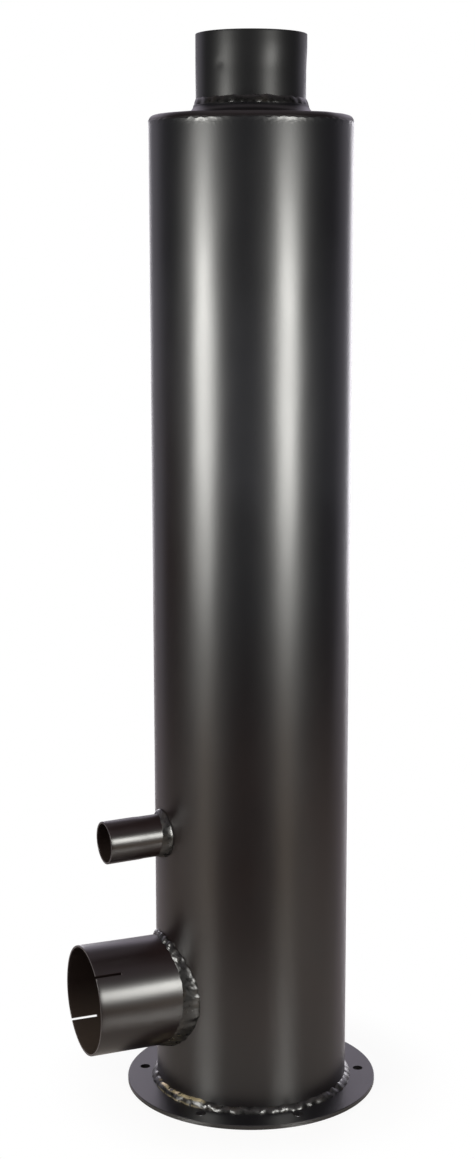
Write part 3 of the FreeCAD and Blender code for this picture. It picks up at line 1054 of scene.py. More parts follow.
@dataclass
class OutletStub:
    """The outlet stub, a little wider on its right side near the top."""

    left_radius: float = 50.65
    right_radius: float = 50.14
    right_end_radius: float = 51.05
    wall: float = PIPE_WALL
    foot: float = 920.6
    top: float = 1008.4
    lead_foot: float = 974.0
    lead_top: float = 1000.0
    rim_round: float = 0.6
    dent: tuple[float, float, float, float] = (236.8, 979.5, 3.2, 0.22)
    uneven: Wander = Wander(31, 3, 9, 0.05, 1.0)
    uneven_length: float = 90.0
    # Share of painted light on the inside, the same all round.
    painted_inner_light: float = 0.3
    columns: int = 224
    rows: int = 60

    def build(self, finish: BlackPaint) -> bpy.types.Object:
        """Carries the wall round the axis.

        The radius is the mean of the left and right radii, plus half their difference
        times the cosine of the angle, and the right one grows smoothly with height. The
        dent (angle, height, width and depth) takes its depth off it, times a bell curve
        of the distance from its middle.

        Args:
            finish: its paint.

        Returns:
            The finished piece.
        """
        rim = self.rim_round
        sides = [
            run((0.0, self.foot), (0.0, self.top - rim), self.rows),
            arc((-rim, self.top - rim), rim, 15.0, 90.0, 5),
            arc((rim - self.wall, self.top - rim), rim, 90.0, 165.0, 5),
            run((-self.wall, self.top - rim), (-self.wall, self.foot), 20),
        ]
        profile = np.concatenate(sides)
        angles = full_turn(self.columns)
        level = np.repeat(profile[:, 1:], self.columns, axis=1)
        rise = np.clip((level - self.lead_foot) / (self.lead_top - self.lead_foot), 0.0, 1.0)
        rise = rise * rise * (3.0 - 2.0 * rise)
        right = self.right_radius + (self.right_end_radius - self.right_radius) * rise
        mean, half = (right + self.left_radius) / 2.0, (right - self.left_radius) / 2.0
        turn = angles[None, :] / TAU
        uneven = self.uneven.along(turn, (level - self.foot) / self.uneven_length)
        dent_angle, dent_level, dent_width, dent_depth = self.dent
        away = np.radians((np.degrees(angles)[None, :] - dent_angle + 180.0) % 360.0 - 180.0)
        spread = ((away * mean) ** 2 + (level - dent_level) ** 2) / (2.0 * dent_width**2)
        radius = mean + half * np.cos(angles)[None, :] + profile[:, :1] + uneven
        radius = radius - dent_depth * np.exp(-spread)
        piece = turned_skin(angles, radius, level).build("Outlet_stub")
        # The inside takes painted light, evenly round.
        painted_inside_light = np.full(self.columns, self.painted_inner_light)
        mark_inside(piece, profile[:, 0] < -self.wall / 2.0, painted_inside_light)
        return dress(piece, finish.material(), "outlet_pipe")


@dataclass
class SlottedInlet:
    """The side inlet, with two saw slots in its mouth."""

    axis: Axis = INLET_AXIS
    radius: float = INLET_RADIUS
    wall: float = PIPE_WALL
    inner_end: float = 66.0
    mouth: float = 174.8
    slot_angles: Pair = (135.5, 319.0)
    slot_width: float = 2.5
    slot_depth: float = 26.0
    slot_margin: float = 0.5
    rim_round: float = 0.35
    columns: int = 180
    rows: int = 30
    slot_rows: int = 8
    uneven: Wander = Wander(41, 2, 6, 0.08, 1.0)
    uneven_length: float = 100.0
    # Painted light inside: an even share, and one more towards the bottom.
    painted_inside_light: Pair = (0.1, 0.9)

    def build(self, finish: BlackPaint) -> bpy.types.Object:
        """Builds the wall as a closed profile carried round the pipe's own axis.

        The profile runs out along the outside, over the rim and back along the inside.
        Cells in a slot are left out, and the slot's sides and end are closed. The even
        columns within `slot_margin` degrees of a slot give way to its sides. The painted
        light inside is an even share plus a second one times the sine of the angle below
        the middle, so the lower inside is lighter.

        Args:
            finish: its paint.

        Returns:
            The finished piece.
        """
        half = math.degrees(self.slot_width / 2.0 / self.radius)
        plain = np.arange(self.columns) * 360.0 / self.columns
        apart = np.min(
            [np.abs((plain - slot + 180.0) % 360.0 - 180.0) for slot in self.slot_angles],
            axis=0,
        )
        plain = plain[apart > half + self.slot_margin]
        cuts = [slot + side * half for slot in self.slot_angles for side in (-1.0, 1.0)]
        degrees = np.sort(np.concatenate([plain, np.array(cuts) % 360.0]))
        angles = np.radians(degrees)
        slot_end = self.mouth - self.slot_depth
        rim = self.rim_round
        straight = np.concatenate(
            [
                np.linspace(self.inner_end, slot_end, self.rows),
                np.linspace(slot_end, self.mouth - rim, self.slot_rows + 1)[1:],
            ]
        )
        outside = np.stack([straight, np.full(straight.size, self.radius)], axis=-1)
        inside = np.stack([straight[::-1], np.full(straight.size, self.radius - self.wall)], -1)
        nose = np.concatenate(
            [
                arc((self.mouth - rim, self.radius - rim), rim, 70.0, 0.0, 4),
                arc((self.mouth - rim, self.radius - self.wall + rim), rim, 0.0, -70.0, 4),
            ]
        )
        profile = np.concatenate([outside, nose, inside])
        turn = degrees[None, :] / 360.0
        uneven = self.uneven.along(turn, profile[:, :1] / self.uneven_length)
        points = self.axis.place(profile[:, :1], profile[:, 1:] + uneven, angles[None, :])
        skin = Skin()
        numbers = skin.add(points)
        count = profile.shape[0]
        keep = np.ones((count, angles.size), bool)
        start, stop = self.rows - 1, count - self.rows
        for slot in self.slot_angles:
            left = int(np.argmin(np.abs(degrees - (slot - half))))
            keep[start:stop, left] = False
            for column in (left, left + 1):
                skin.polygon(numbers[start : stop + 1, column])
            skin.cover(numbers[[start, stop]][:, [left, left + 1]])
        skin.cover(numbers, wrap_rows=True, wrap_columns=True, keep=keep)
        piece = skin.build("Inlet_slotted")
        # Painted light inside, lighter towards the bottom.
        painted_inside_light = self.painted_inside_light[0] + self.painted_inside_light[1] * np.clip(-np.sin(angles), 0.0, 1.0)
        mark_inside(piece, profile[:, 1] < self.radius - self.wall / 2.0, painted_inside_light)
        return dress(piece, finish.material(), "inlet_pipe")


@dataclass
class SuctionPipe:
    """The small side pipe above the inlet, with its sized end."""

    axis: Axis = SUCTION_AXIS
    radius: float = SUCTION_RADIUS
    end_radius: float = 20.4
    wall: float = PIPE_WALL
    inner_end: float = 80.0
    lead_foot: float = 116.9
    end_foot: float = 121.9
    mouth: float = 153.9
    rim_round: float = 0.4
    columns: int = 128
    uneven: Wander = Wander(51, 2, 5, 0.04, 1.0)
    uneven_length: float = 100.0
    # Painted light inside: an even share, and one more towards the bottom.
    painted_inside_light: Pair = (0.1, 0.25)

    def build(self, finish: BlackPaint) -> bpy.types.Object:
        """Carries the closed profile round the pipe's own axis.

        Args:
            finish: its paint.

        Returns:
            The finished piece.
        """
        rim, wall = self.rim_round, self.wall
        bore, end_bore = self.radius - wall, self.end_radius - wall
        profile = np.concatenate(
            [
                run((self.inner_end, self.radius), (self.lead_foot, self.radius), 12),
                run((self.end_foot, self.end_radius), (self.mouth - rim, self.end_radius), 10),
                arc((self.mouth - rim, self.end_radius - rim), rim, 70.0, 0.0, 4),
                arc((self.mouth - rim, self.end_radius - wall + rim), rim, 0.0, -70.0, 4),
                run((self.mouth - rim, end_bore), (self.end_foot, end_bore), 10),
                run((self.lead_foot, bore), (self.inner_end, bore), 12),
            ]
        )
        angles = full_turn(self.columns)
        uneven = self.uneven.along(angles[None, :] / TAU, profile[:, :1] / self.uneven_length)
        points = self.axis.place(profile[:, :1], profile[:, 1:] + uneven, angles[None, :])
        skin = Skin()
        skin.cover(skin.add(points), wrap_rows=True, wrap_columns=True)
        piece = skin.build("Suction_tube")
        # Painted light inside, lighter towards the bottom.
        painted_inside_light = self.painted_inside_light[0] + self.painted_inside_light[1] * np.clip(-np.sin(angles), 0.0, 1.0)
        mark_inside(piece, profile[:, 1] < self.radius - wall / 2.0, painted_inside_light)
        return dress(piece, finish.material(), "suction_pipe")


@dataclass(frozen=True)
class FlangeHole:
    """A round hole through the base flange."""

    angle: float
    distance: float
    radius: float


@dataclass
class BaseFlange:
    """The round base plate, with its bolt holes and its drain hole."""

    radius: float = 123.5
    thickness: float = FLANGE_TOP
    edge_break: float = 0.5
    middle: float = 50.0
    columns: int = 240
    rows: int = 36
    hole_rings: int = 4
    bolt_circle: float = 108.0
    bolt_hole_radius: float = 5.0
    pair_angle: float = 25.5
    side_bolt_angle: float = 5.8
    drain: FlangeHole = FlangeHole(270.0, 62.0, 3.0)
    hole_margin: float = 3.2

    def holes(self) -> list[FlangeHole]:
        """Lists the holes of the plate.

        Returns:
            The back and the front pair of bolt holes, the two side ones and the drain.
        """
        pairs = [
            middle + side * self.pair_angle for middle in (90.0, 270.0) for side in (-1.0, 1.0)
        ]
        bolts = [
            FlangeHole(angle, self.bolt_circle, self.bolt_hole_radius)
            for angle in (*pairs, self.side_bolt_angle, 180.0 - self.side_bolt_angle)
        ]
        return [*bolts, self.drain]

    def side(self, skin: Skin, level: float) -> tuple[np.ndarray, list[np.ndarray]]:
        """Lays one face of the plate, with a ring of cells round each hole.

        Args:
            skin: takes the points and faces.
            level: the face's height.

        Returns:
            The numbers of the outermost row and of each hole's edge.
        """

        def place(flat: np.ndarray) -> np.ndarray:
            """Gives points laid out flat the face's height."""
            return np.concatenate([flat, np.full(flat.shape[:-1] + (1,), level)], axis=-1)

        angles = np.arange(self.columns) * (TAU / self.columns)
        reach = np.linspace(self.middle, self.radius - self.edge_break, self.rows + 1)
        grid_reach, grid_angles = np.meshgrid(reach, angles, indexing="ij")
        numbers = skin.add(upright(grid_reach, grid_angles, np.full(grid_reach.shape, level)))
        keep = np.ones((self.rows, self.columns), bool)
        edges = []
        for hole in self.holes():
            middle = math.radians(hole.angle)
            centre = hole.distance * np.array([math.cos(middle), math.sin(middle)])
            half = hole.radius + self.hole_margin
            spread = half / hole.distance
            block = HoleBlock.around(
                reach,
                (hole.distance - half, hole.distance + half),
                self.columns,
                (middle - spread, middle + spread),
            )
            rows, columns = block.rim()
            spokes = np.stack([np.cos(angles[columns]), np.sin(angles[columns])], -1)
            rim = reach[rows][:, None] * spokes
            way = np.arctan2(rim[:, 1] - centre[1], rim[:, 0] - centre[0])
            edge = centre + hole.radius * np.stack([np.cos(way), np.sin(way)], axis=-1)
            lines = (edge, rim)
            edges.append(block.fill(skin, numbers, keep, lines, self.hole_rings, place))
        skin.cover(numbers, wrap_columns=True, keep=keep)
        skin.polygon(numbers[0])
        return numbers[-1], edges

    def build(self, finish: BlackPaint) -> bpy.types.Object:
        """Builds both faces and joins them at the rim and in the holes.

        Args:
            finish: its paint.

        Returns:
            The finished piece.
        """
        skin = Skin()
        upper = self.side(skin, self.thickness)
        lower = self.side(skin, 0.0)
        angles = full_turn(self.columns)
        edge = np.stack(
            [
                upright(np.float64(self.radius), angles, np.full(self.columns, height))
                for height in (self.thickness - self.edge_break, self.edge_break)
            ]
        )
        rim = skin.add(edge)
        skin.cover(
            np.concatenate([upper[0][None], rim, lower[0][None]]), wrap_columns=True
        )
        for upper_edge, lower_edge in zip(upper[1], lower[1]):
            skin.cover(np.stack([upper_edge, lower_edge]), wrap_columns=True)
        return dress(
            skin.build("Flange_base", sharp_degrees=30.0),
            finish.material(),
            "base_flange",
        )


@dataclass(frozen=True)
class BeadShape:
    """Cross-section of a weld bead and its unevenness along the seam.

    Each station gives a place along the seam in degrees, and the bead's two legs, its
    crown and how lumpy it is there. Across it a share q runs from the first toe, 0, to
    the second, 1. The surface is the straight line between the toes plus a bulge of
    4p(1-p) times the crown, where p is q raised to a power that puts the bulge's peak
    at `peak`. Lumps and shallow scales lie on it.
    """

    stations: tuple[tuple[float, float, float, float, float], ...]
    peak: float = 0.5
    lump_length: float = 6.0
    lump_share: float = 0.35
    lump_drift: float = 2.2
    ripple: float = 0.03
    ripple_pitch: float = 3.2
    ripple_bow: float = 0.55
    ripple_skew: float = 0.7
    toe_wander: float = 0.45
    toe_fade: float = 0.6
    least_leg: float = 0.4
    least_crown: float = 0.2
    sink: float = 0.3
    across: int = 15
    seed: int = 1

    def section(
        self, turn: np.ndarray, length: float
    ) -> tuple[np.ndarray, np.ndarray, np.ndarray]:
        """Works out the bead over its length.

        Args:
            turn: places along the seam, from 0 to 1.
            length: the seam's length.

        Returns:
            How far each surface point goes along the first leg, along the second leg
            and out along the crown, as arrays with one row for each place.
        """
        q = np.linspace(0.0, 1.0, self.across)[None, :]
        place = turn[:, None]
        table = np.array(self.stations)
        first, second, height, lumpy = (
            np.interp(turn * 360.0, table[:, 0], table[:, k], period=360.0)[:, None]
            for k in (1, 2, 3, 4)
        )
        # The toes' longest waves are longer than the lumps', and the small lumps are
        # finer than both. The scales bow along the seam, as the rims of a pool do.
        seed, waves = self.seed, max(6, int(length / self.lump_length))
        slowest = max(2, waves // 6)
        first = first + Wander(seed, slowest, waves, self.toe_wander).along(place)
        second = second + Wander(seed + 1, slowest, waves, self.toe_wander).along(place)
        lumps = lumpy * Wander(seed + 2, max(2, waves // 4), waves, 1.0).along(place)
        small = Wander(seed + 3, waves // 2, waves * 2, self.lump_share, self.lump_drift)
        count = max(8, int(length / self.ripple_pitch))
        warp = Wander(seed + 4, waves // 4, waves, self.lump_share).along(place)
        scale = np.mod(place * count + warp - self.ripple_bow * (2.0 * q - 1.0) ** 2, 1.0)
        crest = np.sin(np.pi * scale**self.ripple_skew)
        share = q ** (math.log(0.5) / math.log(self.peak))
        bulge = 4.0 * share * (1.0 - share)
        fade = (4.0 * q * (1.0 - q)) ** self.toe_fade
        crown = (
            bulge * np.maximum(height + lumps, height * self.least_crown)
            + fade * (self.ripple * crest + lumpy * small.along(place, q))
            - self.sink * (1.0 - fade)
        )
        first = np.maximum(first, self.least_leg) * (1.0 - q)
        return first, np.maximum(second, self.least_leg) * q, crown


@dataclass
class RingBead:
    """A weld bead that runs right round the silencer's axis."""

    piece: str
    node: str
    corner: Pair
    shape: BeadShape
    first_way: Pair = (1.0, 0.0)
    second_way: Pair = (0.0, 1.0)
    bare_and_reflection: Triple | None = None
    bare_and_reflection_edge: float = 0.2
    bare_and_reflection_peak: float = 2.0
    bare_and_reflection_fall: float = 0.7
    bare_and_reflection_loss: float = 0.3
    # Strength of the straw band at the first toe, a painted bronze reflection.
    toe_painted_reflection: float = 0.28
    step: float = 0.55
    root: float = 0.7

    def mark_bare_and_reflection(self, piece: bpy.types.Object, turn: np.ndarray, columns: int) -> None:
        """Stores where the paint is off the bead, and the painted bronze reflection at its
        first toe.

        `bare_and_reflection` gives the middle and half the length of that stretch, in degrees,
        and the share across the bead where it starts. Along the bead it is
        `bare_and_reflection_peak` times e to the power of `bare_and_reflection_fall` times
        minus the fourth power of the distance over that half length, less
        `bare_and_reflection_loss`, and kept from 0 to 1. Across the bead it grows evenly over
        `bare_and_reflection_edge`. At the first toe a weaker band of the same mark, up to
        `toe_painted_reflection`, is a painted bronze reflection of the flange.

        Args:
            piece: the bead, whose points run across it, place by place.
            turn: the places round the axis, from 0 to 1.
            columns: how many points there are across it, the last of them its root.
        """
        middle, reach, start = self.bare_and_reflection
        away = (turn * 360.0 - middle) / reach
        bell = self.bare_and_reflection_peak * np.exp(-(away**4) * self.bare_and_reflection_fall)
        along = np.clip(bell - self.bare_and_reflection_loss, 0.0, 1.0)
        q = np.minimum(np.arange(columns) / (columns - 2.0), 1.0)
        edge = self.bare_and_reflection_edge
        across = np.clip((q - start) / edge, 0.0, 1.0)
        # A weaker band at the first toe: a painted bronze reflection of the flange.
        across = across + np.clip((edge - q) / (2.0 * edge), 0.0, self.toe_painted_reflection)
        marks = piece.data.attributes.new(BARE_AND_REFLECTION, "FLOAT", "POINT")
        marks.data.foreach_set("value", (along[:, None] * across).astype(np.float32).ravel())

    def build(self, finish: WeldPaint | BlackPaint) -> bpy.types.Object:
        """Carries the uneven section round the axis.

        A point is the corner plus its shares of the two legs, plus its crown along the
        line halfway between the legs, or outwards where they lie in one line.

        Args:
            finish: its paint.

        Returns:
            The finished piece.
        """
        length = TAU * self.corner[0]
        count = int(length / self.step)
        turn = np.arange(count) / count
        first, second, crown = self.shape.section(turn, length)
        one, two = np.array(self.first_way), np.array(self.second_way)
        out = one + two
        if not out.any():
            out = np.array([1.0, 0.0])
        out = out / float(np.linalg.norm(out))
        flat = (
            np.array(self.corner)
            + first[..., None] * one
            + second[..., None] * two
            + crown[..., None] * out
        )
        root = np.broadcast_to(np.array(self.corner) - self.root * out, (count, 1, 2))
        flat = np.concatenate([flat, root], axis=1)
        points = upright(flat[..., 0], (turn * TAU)[:, None], flat[..., 1])
        skin = Skin()
        skin.cover(skin.add(points), wrap_rows=True, wrap_columns=True)
        piece = skin.build(self.piece)
        if self.bare_and_reflection is not None:
            self.mark_bare_and_reflection(piece, turn, flat.shape[1])
        return dress(piece, finish.material(), self.node)


@dataclass
class SaddleBead:
    """A weld bead along the saddle-shaped joint of a side pipe and the shell.

    Places along it are angles round the pipe: 0 at the back, 90 at the top, 180 at the
    front. The first leg lies on the shell and the second on the pipe.
    """

    piece: str
    node: str
    axis: Axis
    pipe_radius: float
    shape: BeadShape
    shell_radius: float = SHELL_RADIUS
    stretch: float = 1.05
    step: float = 0.5
    root: float = 0.8

    def joint(self, angle: np.ndarray) -> tuple[np.ndarray, np.ndarray, np.ndarray]:
        """Works out where the pipe's outside meets the shell's.

        At each angle round the pipe, the reach along the axis is the larger root of
        the square equation that puts the point on the shell's radius.

        Args:
            angle: angles round the pipe, in radians.

        Returns:
            The joint's points, the way along the pipe there and the way along the
            shell, square to the joint and away from the pipe.
        """
        out, across, up = self.axis.directions()
        spoke = np.cos(angle)[:, None] * across + np.sin(angle)[:, None] * up
        start = np.array(self.axis.origin) + self.pipe_radius * spoke
        a = float(out[:2] @ out[:2])
        b = 2.0 * start[:, :2] @ out[:2]
        c = np.sum(start[:, :2] ** 2, axis=1) - self.shell_radius**2
        reach = (-b + np.sqrt(b**2 - 4.0 * a * c)) / (2.0 * a)
        points = start + reach[:, None] * out
        tangent = np.roll(points, -1, axis=0) - np.roll(points, 1, axis=0)
        tangent /= np.linalg.norm(tangent, axis=1, keepdims=True)
        normal = points * np.array([1.0, 1.0, 0.0]) / self.shell_radius
        away = np.cross(tangent, normal)
        away *= np.sign(np.sum(away * spoke, axis=1, keepdims=True))
        away /= np.linalg.norm(away, axis=1, keepdims=True)
        return points, np.broadcast_to(out, points.shape), away

    def build(self, finish: WeldPaint) -> bpy.types.Object:
        """Carries the uneven section along the joint.

        The joint is `stretch` times as long as the way round the pipe. The first leg
        follows the curved shell: it drops by its square over twice the shell's radius.

        Args:
            finish: its paint.

        Returns:
            The finished piece.
        """
        length = TAU * self.pipe_radius * self.stretch
        count = int(length / self.step)
        turn = np.arange(count) / count
        first, second, crown = self.shape.section(turn, length)
        points, along_pipe, along_shell = self.joint(turn * TAU)
        out = along_pipe + along_shell
        out /= np.linalg.norm(out, axis=1, keepdims=True)
        surface = (
            points[:, None]
            + first[..., None] * along_shell[:, None]
            + second[..., None] * along_pipe[:, None]
            + crown[..., None] * out[:, None]
        )
        drop = (first**2 / (2.0 * self.shell_radius))[..., None]
        normal = points * np.array([1.0, 1.0, 0.0]) / self.shell_radius
        surface = surface - drop * normal[:, None]
        root = (points - self.root * out)[:, None]
        skin = Skin()
        numbers = skin.add(np.concatenate([surface, root], axis=1))
        skin.cover(numbers, wrap_rows=True, wrap_columns=True)
        return dress(skin.build(self.piece), finish.material(), self.node)


@dataclass
class SeamBead:
    """The lengthwise bead where the rolled sheet's edges meet."""

    yaw: float = 24.0
    radius: float = SHELL_RADIUS
    foot: float = 10.4
    top: float = 921.7
    shape: BeadShape = BeadShape(
        ((0.0, 2.4, 2.4, 0.5, 0.08),),
        lump_length=9.0,
        ripple=0.1,
        ripple_pitch=1.9,
        toe_wander=0.15,
        across=9,
        seed=600,
    )
    step: float = 0.9
    root: float = 0.5

    def build(self, finish: WeldPaint) -> bpy.types.Object:
        """Carries the uneven section up the shell and closes both ends.

        Args:
            finish: its paint.

        Returns:
            The finished piece.
        """
        length = self.top - self.foot
        count = int(length / self.step)
        turn = np.linspace(0.0, 1.0, count)
        first, second, crown = self.shape.section(turn, length)
        across = second - first
        across = np.concatenate([across, np.zeros((count, 1))], axis=1)
        crown = np.concatenate([crown, np.full((count, 1), -self.root)], axis=1)
        radius = self.radius + crown
        angle = math.radians(self.yaw) + across / self.radius
        level = (self.foot + turn * length)[:, None]
        skin = Skin()
        numbers = skin.add(upright(radius, angle, np.broadcast_to(level, radius.shape)))
        skin.cover(numbers, wrap_columns=True)
        skin.polygon(numbers[0])
        skin.polygon(numbers[-1])
        return dress(skin.build("Seam_bead"), finish.material(), "shell_seam")


BASE_BEAD = RingBead(
    "Weld_base",
    "base_weld",
    (SHELL_RADIUS, FLANGE_TOP),
    BeadShape(
        (
            (0.0, 5.4, 5.4, 0.3, 0.03),
            (40.0, 5.6, 5.6, 0.7, 0.10),
            (205.0, 5.4, 6.0, 0.8, 0.10),
            (226.0, 5.6, 6.8, 0.9, 0.15),
            (242.0, 5.6, 7.6, 1.0, 0.17),
            (248.0, 5.6, 5.4, 0.9, 0.15),
            (290.0, 5.6, 5.4, 0.8, 0.13),
            (318.0, 5.6, 5.6, 0.6, 0.06),
        ),
        lump_length=9.0,
        ripple_pitch=2.8,
        seed=100,
    ),
    # Steel without paint along this stretch; its flange toe has a painted bronze reflection.
    bare_and_reflection=(221.0, 18.0, 0.55),
)
OUTLET_BEAD = RingBead(
    "Weld_outlet",
    "outlet_weld",
    (50.3, NECK_TOP),
    BeadShape(
        (
            (0.0, 2.2, 5.6, 0.3, 0.015),
            (235.0, 2.2, 6.8, 0.3, 0.03),
            (268.0, 2.2, 6.6, 0.4, 0.04),
            (278.0, 2.4, 7.2, 0.6, 0.14),
            (292.0, 2.4, 7.0, 0.6, 0.12),
            (302.0, 2.2, 6.4, 0.3, 0.03),
        ),
        lump_length=9.0,
        ripple=0.0,
        toe_wander=0.35,
        seed=200,
    ),
)
CAP_BEAD = RingBead(
    "Weld_cap",
    "cap_weld",
    (SHELL_RADIUS, SHELL_TOP),
    BeadShape(
        ((0.0, 4.0, 5.6, 0.30, 0.035),),
        peak=0.90,
        lump_length=8.0,
        ripple=0.0,
        toe_wander=0.42,
        sink=0.06,
        across=21,
        seed=300,
    ),
    first_way=(0.0, -1.0),
)
INLET_BEAD = SaddleBead(
    "Weld_inlet",
    "inlet_weld",
    INLET_AXIS,
    INLET_RADIUS,
    BeadShape(
        (
            (0.0, 5.0, 5.0, 0.8, 0.14),
            (80.0, 4.5, 3.5, 0.8, 0.16),
            (100.0, 4.5, 4.4, 0.9, 0.16),
            (135.0, 3.8, 8.5, 0.9, 0.16),
            (155.0, 3.0, 12.5, 0.9, 0.12),
            (175.0, 2.6, 16.0, 0.8, 0.06),
            (195.0, 2.4, 17.0, 0.7, 0.035),
            (230.0, 2.4, 16.5, 0.6, 0.03),
            (260.0, 2.4, 13.0, 0.7, 0.05),
            (300.0, 3.5, 6.0, 0.9, 0.14),
        ),
        peak=0.32,
        lump_length=7.5,
        toe_wander=0.35,
        across=25,
        seed=400,
    ),
)
SUCTION_BEAD = SaddleBead(
    "Weld_suction",
    "suction_weld",
    SUCTION_AXIS,
    SUCTION_RADIUS,
    BeadShape(
        (
            (0.0, 4.5, 4.5, 0.8, 0.09),
            (90.0, 4.4, 5.0, 0.8, 0.06),
            (130.0, 3.4, 7.6, 0.7, 0.05),
            (160.0, 2.4, 10.5, 0.6, 0.02),
            (190.0, 2.0, 11.5, 0.5, 0.01),
            (240.0, 2.0, 11.0, 0.5, 0.01),
            (270.0, 2.4, 8.5, 0.6, 0.03),
            (310.0, 4.4, 5.2, 0.8, 0.09),
        ),
        peak=0.34,
        lump_length=10.0,
        toe_wander=0.2,
        across=21,
        seed=500,
    ),
)


@dataclass
class InnerPieces:
    """The CAD nodes inside the silencer, which keep their own meshes."""

    steel_nodes: tuple[str, ...] = (
        "nozzle_plate",
        "nozzle",
        "suction_plate",
        "middle_baffle",
        "upper_baffle",
        "core_tube",
        "core_weld",
    )
    wool_node: str = "packing"

    def build(self, steel: PlainSteel, wool: PackedWool) -> None:
        """Puts the finishes in the nodes' own material slots.

        Args:
            steel: the finish of the plates, the nozzle and the core tube.
            wool: the finish of the packing.
        """
        finishes = {name: steel.material() for name in self.steel_nodes}
        finishes[self.wool_node] = wool.material()
        for name, material in finishes.items():
            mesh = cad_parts[name].data
            mesh.materials.clear()
            mesh.materials.append(material)
            LOG.info("%s: CAD mesh with the finish %s", name, material.name)


# Studio


@dataclass(frozen=True)
class PhotoCamera:
    """The camera, as solved from the photograph: millimetres, degrees and pixels."""

    place: Triple = (33.6, -1836.9, 821.5)
    azimuth: float = 1.05
    pitch: float = 11.103
    focal_length: float = 1947.33
    centre: Pair = (251.06, 626.38)
    image: Pair = (475.0, 1159.0)
    sensor: float = 36.0

    def build(self) -> None:
        """Adds the camera. Its shift puts the optical centre where the photo has it."""
        data = bpy.data.cameras.new("Camera")
        data.sensor_width = self.sensor
        data.lens = self.focal_length * self.sensor / self.image[1]
        data.shift_x = (self.image[0] / 2.0 - self.centre[0]) / self.image[1]
        data.shift_y = (self.centre[1] - self.image[1] / 2.0) / self.image[1]
        camera = bpy.data.objects.new("Camera", data)
        camera.location = [number * MM for number in self.place]
        turn = (math.radians(90.0 - self.pitch), 0.0, math.radians(self.azimuth))
        camera.rotation_euler = turn
        bpy.context.scene.collection.objects.link(camera)
        bpy.context.scene.camera = camera


@dataclass(frozen=True)
class SoftBox:
    """A tall soft lamp. Its bearing is from straight in front, to the right if above 0."""

    name: str
    bearing: float
    distance: float
    middle: float
    width: float
    height: float
    radiance: float
    tint: Triple = (1.0, 1.0, 1.0)

    def build(self) -> None:
        """Adds the lamp, facing the axis. Its power is pi times its area and radiance."""
        data = bpy.data.lights.new(self.name, "AREA")
        data.shape = "RECTANGLE"
        data.color = self.tint
        data.size, data.size_y = self.width, self.height
        data.energy = math.pi * self.width * self.height * self.radiance
        lamp = bpy.data.objects.new(self.name, data)
        bearing = math.radians(self.bearing)
        lamp.location = (
            self.distance * math.sin(bearing),
            -self.distance * math.cos(bearing),
            self.middle,
        )
        lamp.rotation_euler = (math.radians(90.0), 0.0, bearing)
        lamp.visible_camera = False
        bpy.context.scene.collection.objects.link(lamp)


LAMPS = (
    SoftBox("Key_left", -51.5, 1.2, 0.78, 0.39, 0.11, 51.0, PALE),
    SoftBox("Wash_left", -51.5, 1.2, 0.535, 0.39, 0.27, 20.5, PALE),
    SoftBox("Key_right", 40.8, 1.2, 0.78, 0.37, 0.11, 41.0, PALE),
    SoftBox("Wash_right", 40.8, 1.2, 0.565, 0.37, 0.32, 22.5, PALE),
    SoftBox("Low_left", -51.5, 1.2, -0.10, 0.39, 0.50, 0.8, WARM),
    SoftBox("Low_right", 40.8, 1.2, -0.10, 0.37, 0.50, 0.8, WARM),
    SoftBox("Rim_left", -162.0, 2.7, 0.30, 0.62, 1.7, 2.6, COOL),
    SoftBox("Rim_right", 158.0, 2.7, 0.20, 0.78, 1.8, 4.2, COOL),
)


@dataclass(frozen=True)
class Surroundings:
    """A lilac wall behind the silencer, a dimmer ceiling and a dark room in front."""

    wall_foot: Triple = (0.43, 0.41, 0.46)
    wall: Triple = (1.00, 0.92, 1.08)
    wall_rise: Pair = (0.12, 0.34)
    wall_top: Pair = (0.42, 0.72)
    wall_sides: Pair = (0.35, 0.66)
    ceiling: Triple = (0.33, 0.29, 0.31)
    ceiling_edge: Pair = (0.50, 0.92)
    room: Triple = (0.012, 0.011, 0.012)

    def build(self) -> None:
        """Builds the world. What the camera sees is white, whatever its direction."""
        world = bpy.data.worlds.new("Studio")
        bpy.context.scene.world = world
        world.use_nodes = True
        net = NodeNet(world.node_tree)
        output = net.add("ShaderNodeOutputWorld")
        seen = net.add("ShaderNodeBackground")
        seen.inputs["Color"].default_value = (1.0, 1.0, 1.0, 1.0)
        around = net.add("ShaderNodeBackground")
        mix = net.add("ShaderNodeMixShader")
        rays = net.add("ShaderNodeLightPath")
        either = net.compute(
            "MAXIMUM",
            rays.outputs[RayKind.CAMERA.value],
            rays.outputs[RayKind.TRANSMISSION.value],
        )
        parts = net.add("ShaderNodeSeparateXYZ")
        net.join(net.add("ShaderNodeTexCoord").outputs["Generated"], parts.inputs["Vector"])
        back = net.ramp(parts.outputs["Y"], self.wall_sides)
        wall = net.product(back, net.ramp(parts.outputs["Z"], self.wall_top, (1.0, 0.0)))
        overhead = net.ramp(parts.outputs["Z"], self.ceiling_edge)
        rise = net.ramp(parts.outputs["Z"], self.wall_rise)
        pale = net.blend(rise, self.wall_foot, self.wall)
        colour = net.blend(overhead, net.blend(wall, self.room, pale), self.ceiling)
        net.join(colour, around.inputs["Color"])
        net.join(either, mix.inputs["Fac"])
        net.join(around.outputs["Background"], mix.inputs[1])
        net.join(seen.outputs["Background"], mix.inputs[2])
        net.join(mix.outputs["Shader"], output.inputs["Surface"])


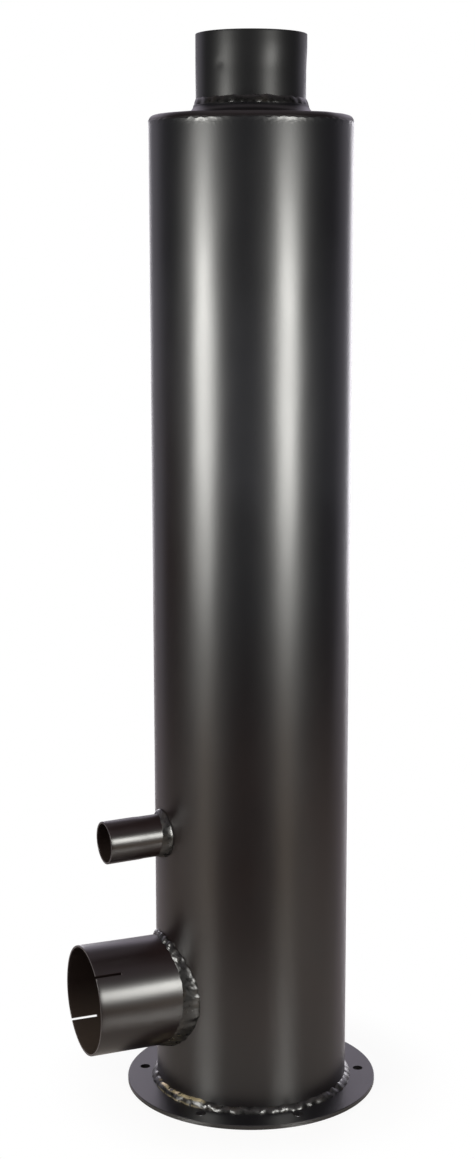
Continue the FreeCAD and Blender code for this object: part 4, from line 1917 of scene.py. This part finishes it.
@dataclass(frozen=True)
class PaperFloor:
    """A sheet of white paper that the silencer stands on, most of it behind."""

    width: float = 3.0
    front: float = 0.45
    back: float = 3.2
    colour: Triple = (0.66, 0.61, 0.56)
    roughness: float = 0.23
    gloss_level: float = 1.0
    shadow_share: float = 0.08
    shadow_reach: Pair = (0.125, 0.22)
    level: float = -0.0004

    def build(self) -> None:
        """Adds the sheet. Away from the silencer the camera sees it as plain white."""
        half = self.width / 2.0
        corners = [
            (-half, -self.front, self.level),
            (half, -self.front, self.level),
            (half, self.back, self.level),
            (-half, self.back, self.level),
        ]
        mesh = bpy.data.meshes.new("Floor")
        mesh.from_pydata(corners, [], [(0, 1, 2, 3)])
        floor = bpy.data.objects.new("Floor", mesh)
        bpy.context.scene.collection.objects.link(floor)
        shader = Shader("Paper")
        shader.surface.inputs["Base Color"].default_value = (*self.colour, 1.0)
        shader.even("Roughness", self.roughness)
        shader.even("Specular IOR Level", self.gloss_level)
        glow = shader.add("ShaderNodeEmission")
        rays = shader.add("ShaderNodeLightPath")
        length = shader.add("ShaderNodeVectorMath")
        length.operation = "LENGTH"
        shader.join(shader.place, length.inputs[0])
        white = shader.ramp(
            length.outputs["Value"], self.shadow_reach, (1.0 - self.shadow_share, 1.0)
        )
        share = shader.product(rays.outputs[RayKind.CAMERA.value], white)
        mix = shader.add("ShaderNodeMixShader")
        shader.join(share, mix.inputs["Fac"])
        shader.join(shader.surface.outputs["BSDF"], mix.inputs[1])
        shader.join(glow.outputs["Emission"], mix.inputs[2])
        shader.join(mix.outputs["Shader"], shader.output.inputs["Surface"])
        floor.data.materials.append(shader.material)


def main() -> None:
    """Builds the silencer's pieces and the studio, in order."""
    logging.basicConfig(level=logging.INFO, format="%(name)s %(message)s")
    shell_paint = BlackPaint("Paint_shell")
    # Each paint's warm colour is painted warm light at the foot and on the left side.
    pipe_paint = BlackPaint(
        "Paint_pipe", warm=(0.0098, 0.0046, 0.0042), gloss_level=0.70, roughness=0.30
    )
    flange_paint = BlackPaint(
        "Paint_flange", warm=(0.0048, 0.0036, 0.0046), gloss_level=0.9, roughness=0.33
    )
    stub_paint = BlackPaint("Paint_stub", colour=(0.0074, 0.0074, 0.0082), gloss_level=0.74)
    weld_paint = WeldPaint("Paint_weld")
    RolledShell().build(shell_paint)
    TopCap().build(shell_paint)
    OutletStub().build(stub_paint)
    SlottedInlet().build(pipe_paint)
    SuctionPipe().build(pipe_paint)
    BaseFlange().build(flange_paint)
    for bead, paint in (
        (BASE_BEAD, weld_paint),
        (OUTLET_BEAD, weld_paint),
        (CAP_BEAD, shell_paint),
        (INLET_BEAD, weld_paint),
        (SUCTION_BEAD, weld_paint),
        (SeamBead(), weld_paint),
    ):
        bead.build(paint)
    InnerPieces().build(PlainSteel("Steel_inside"), PackedWool("Wool_packed"))
    PhotoCamera().build()
    for lamp in LAMPS:
        lamp.build()
    Surroundings().build()
    PaperFloor().build()
    bpy.context.scene.view_settings.view_transform = "Standard"


if __name__ == "__main__":
    main()
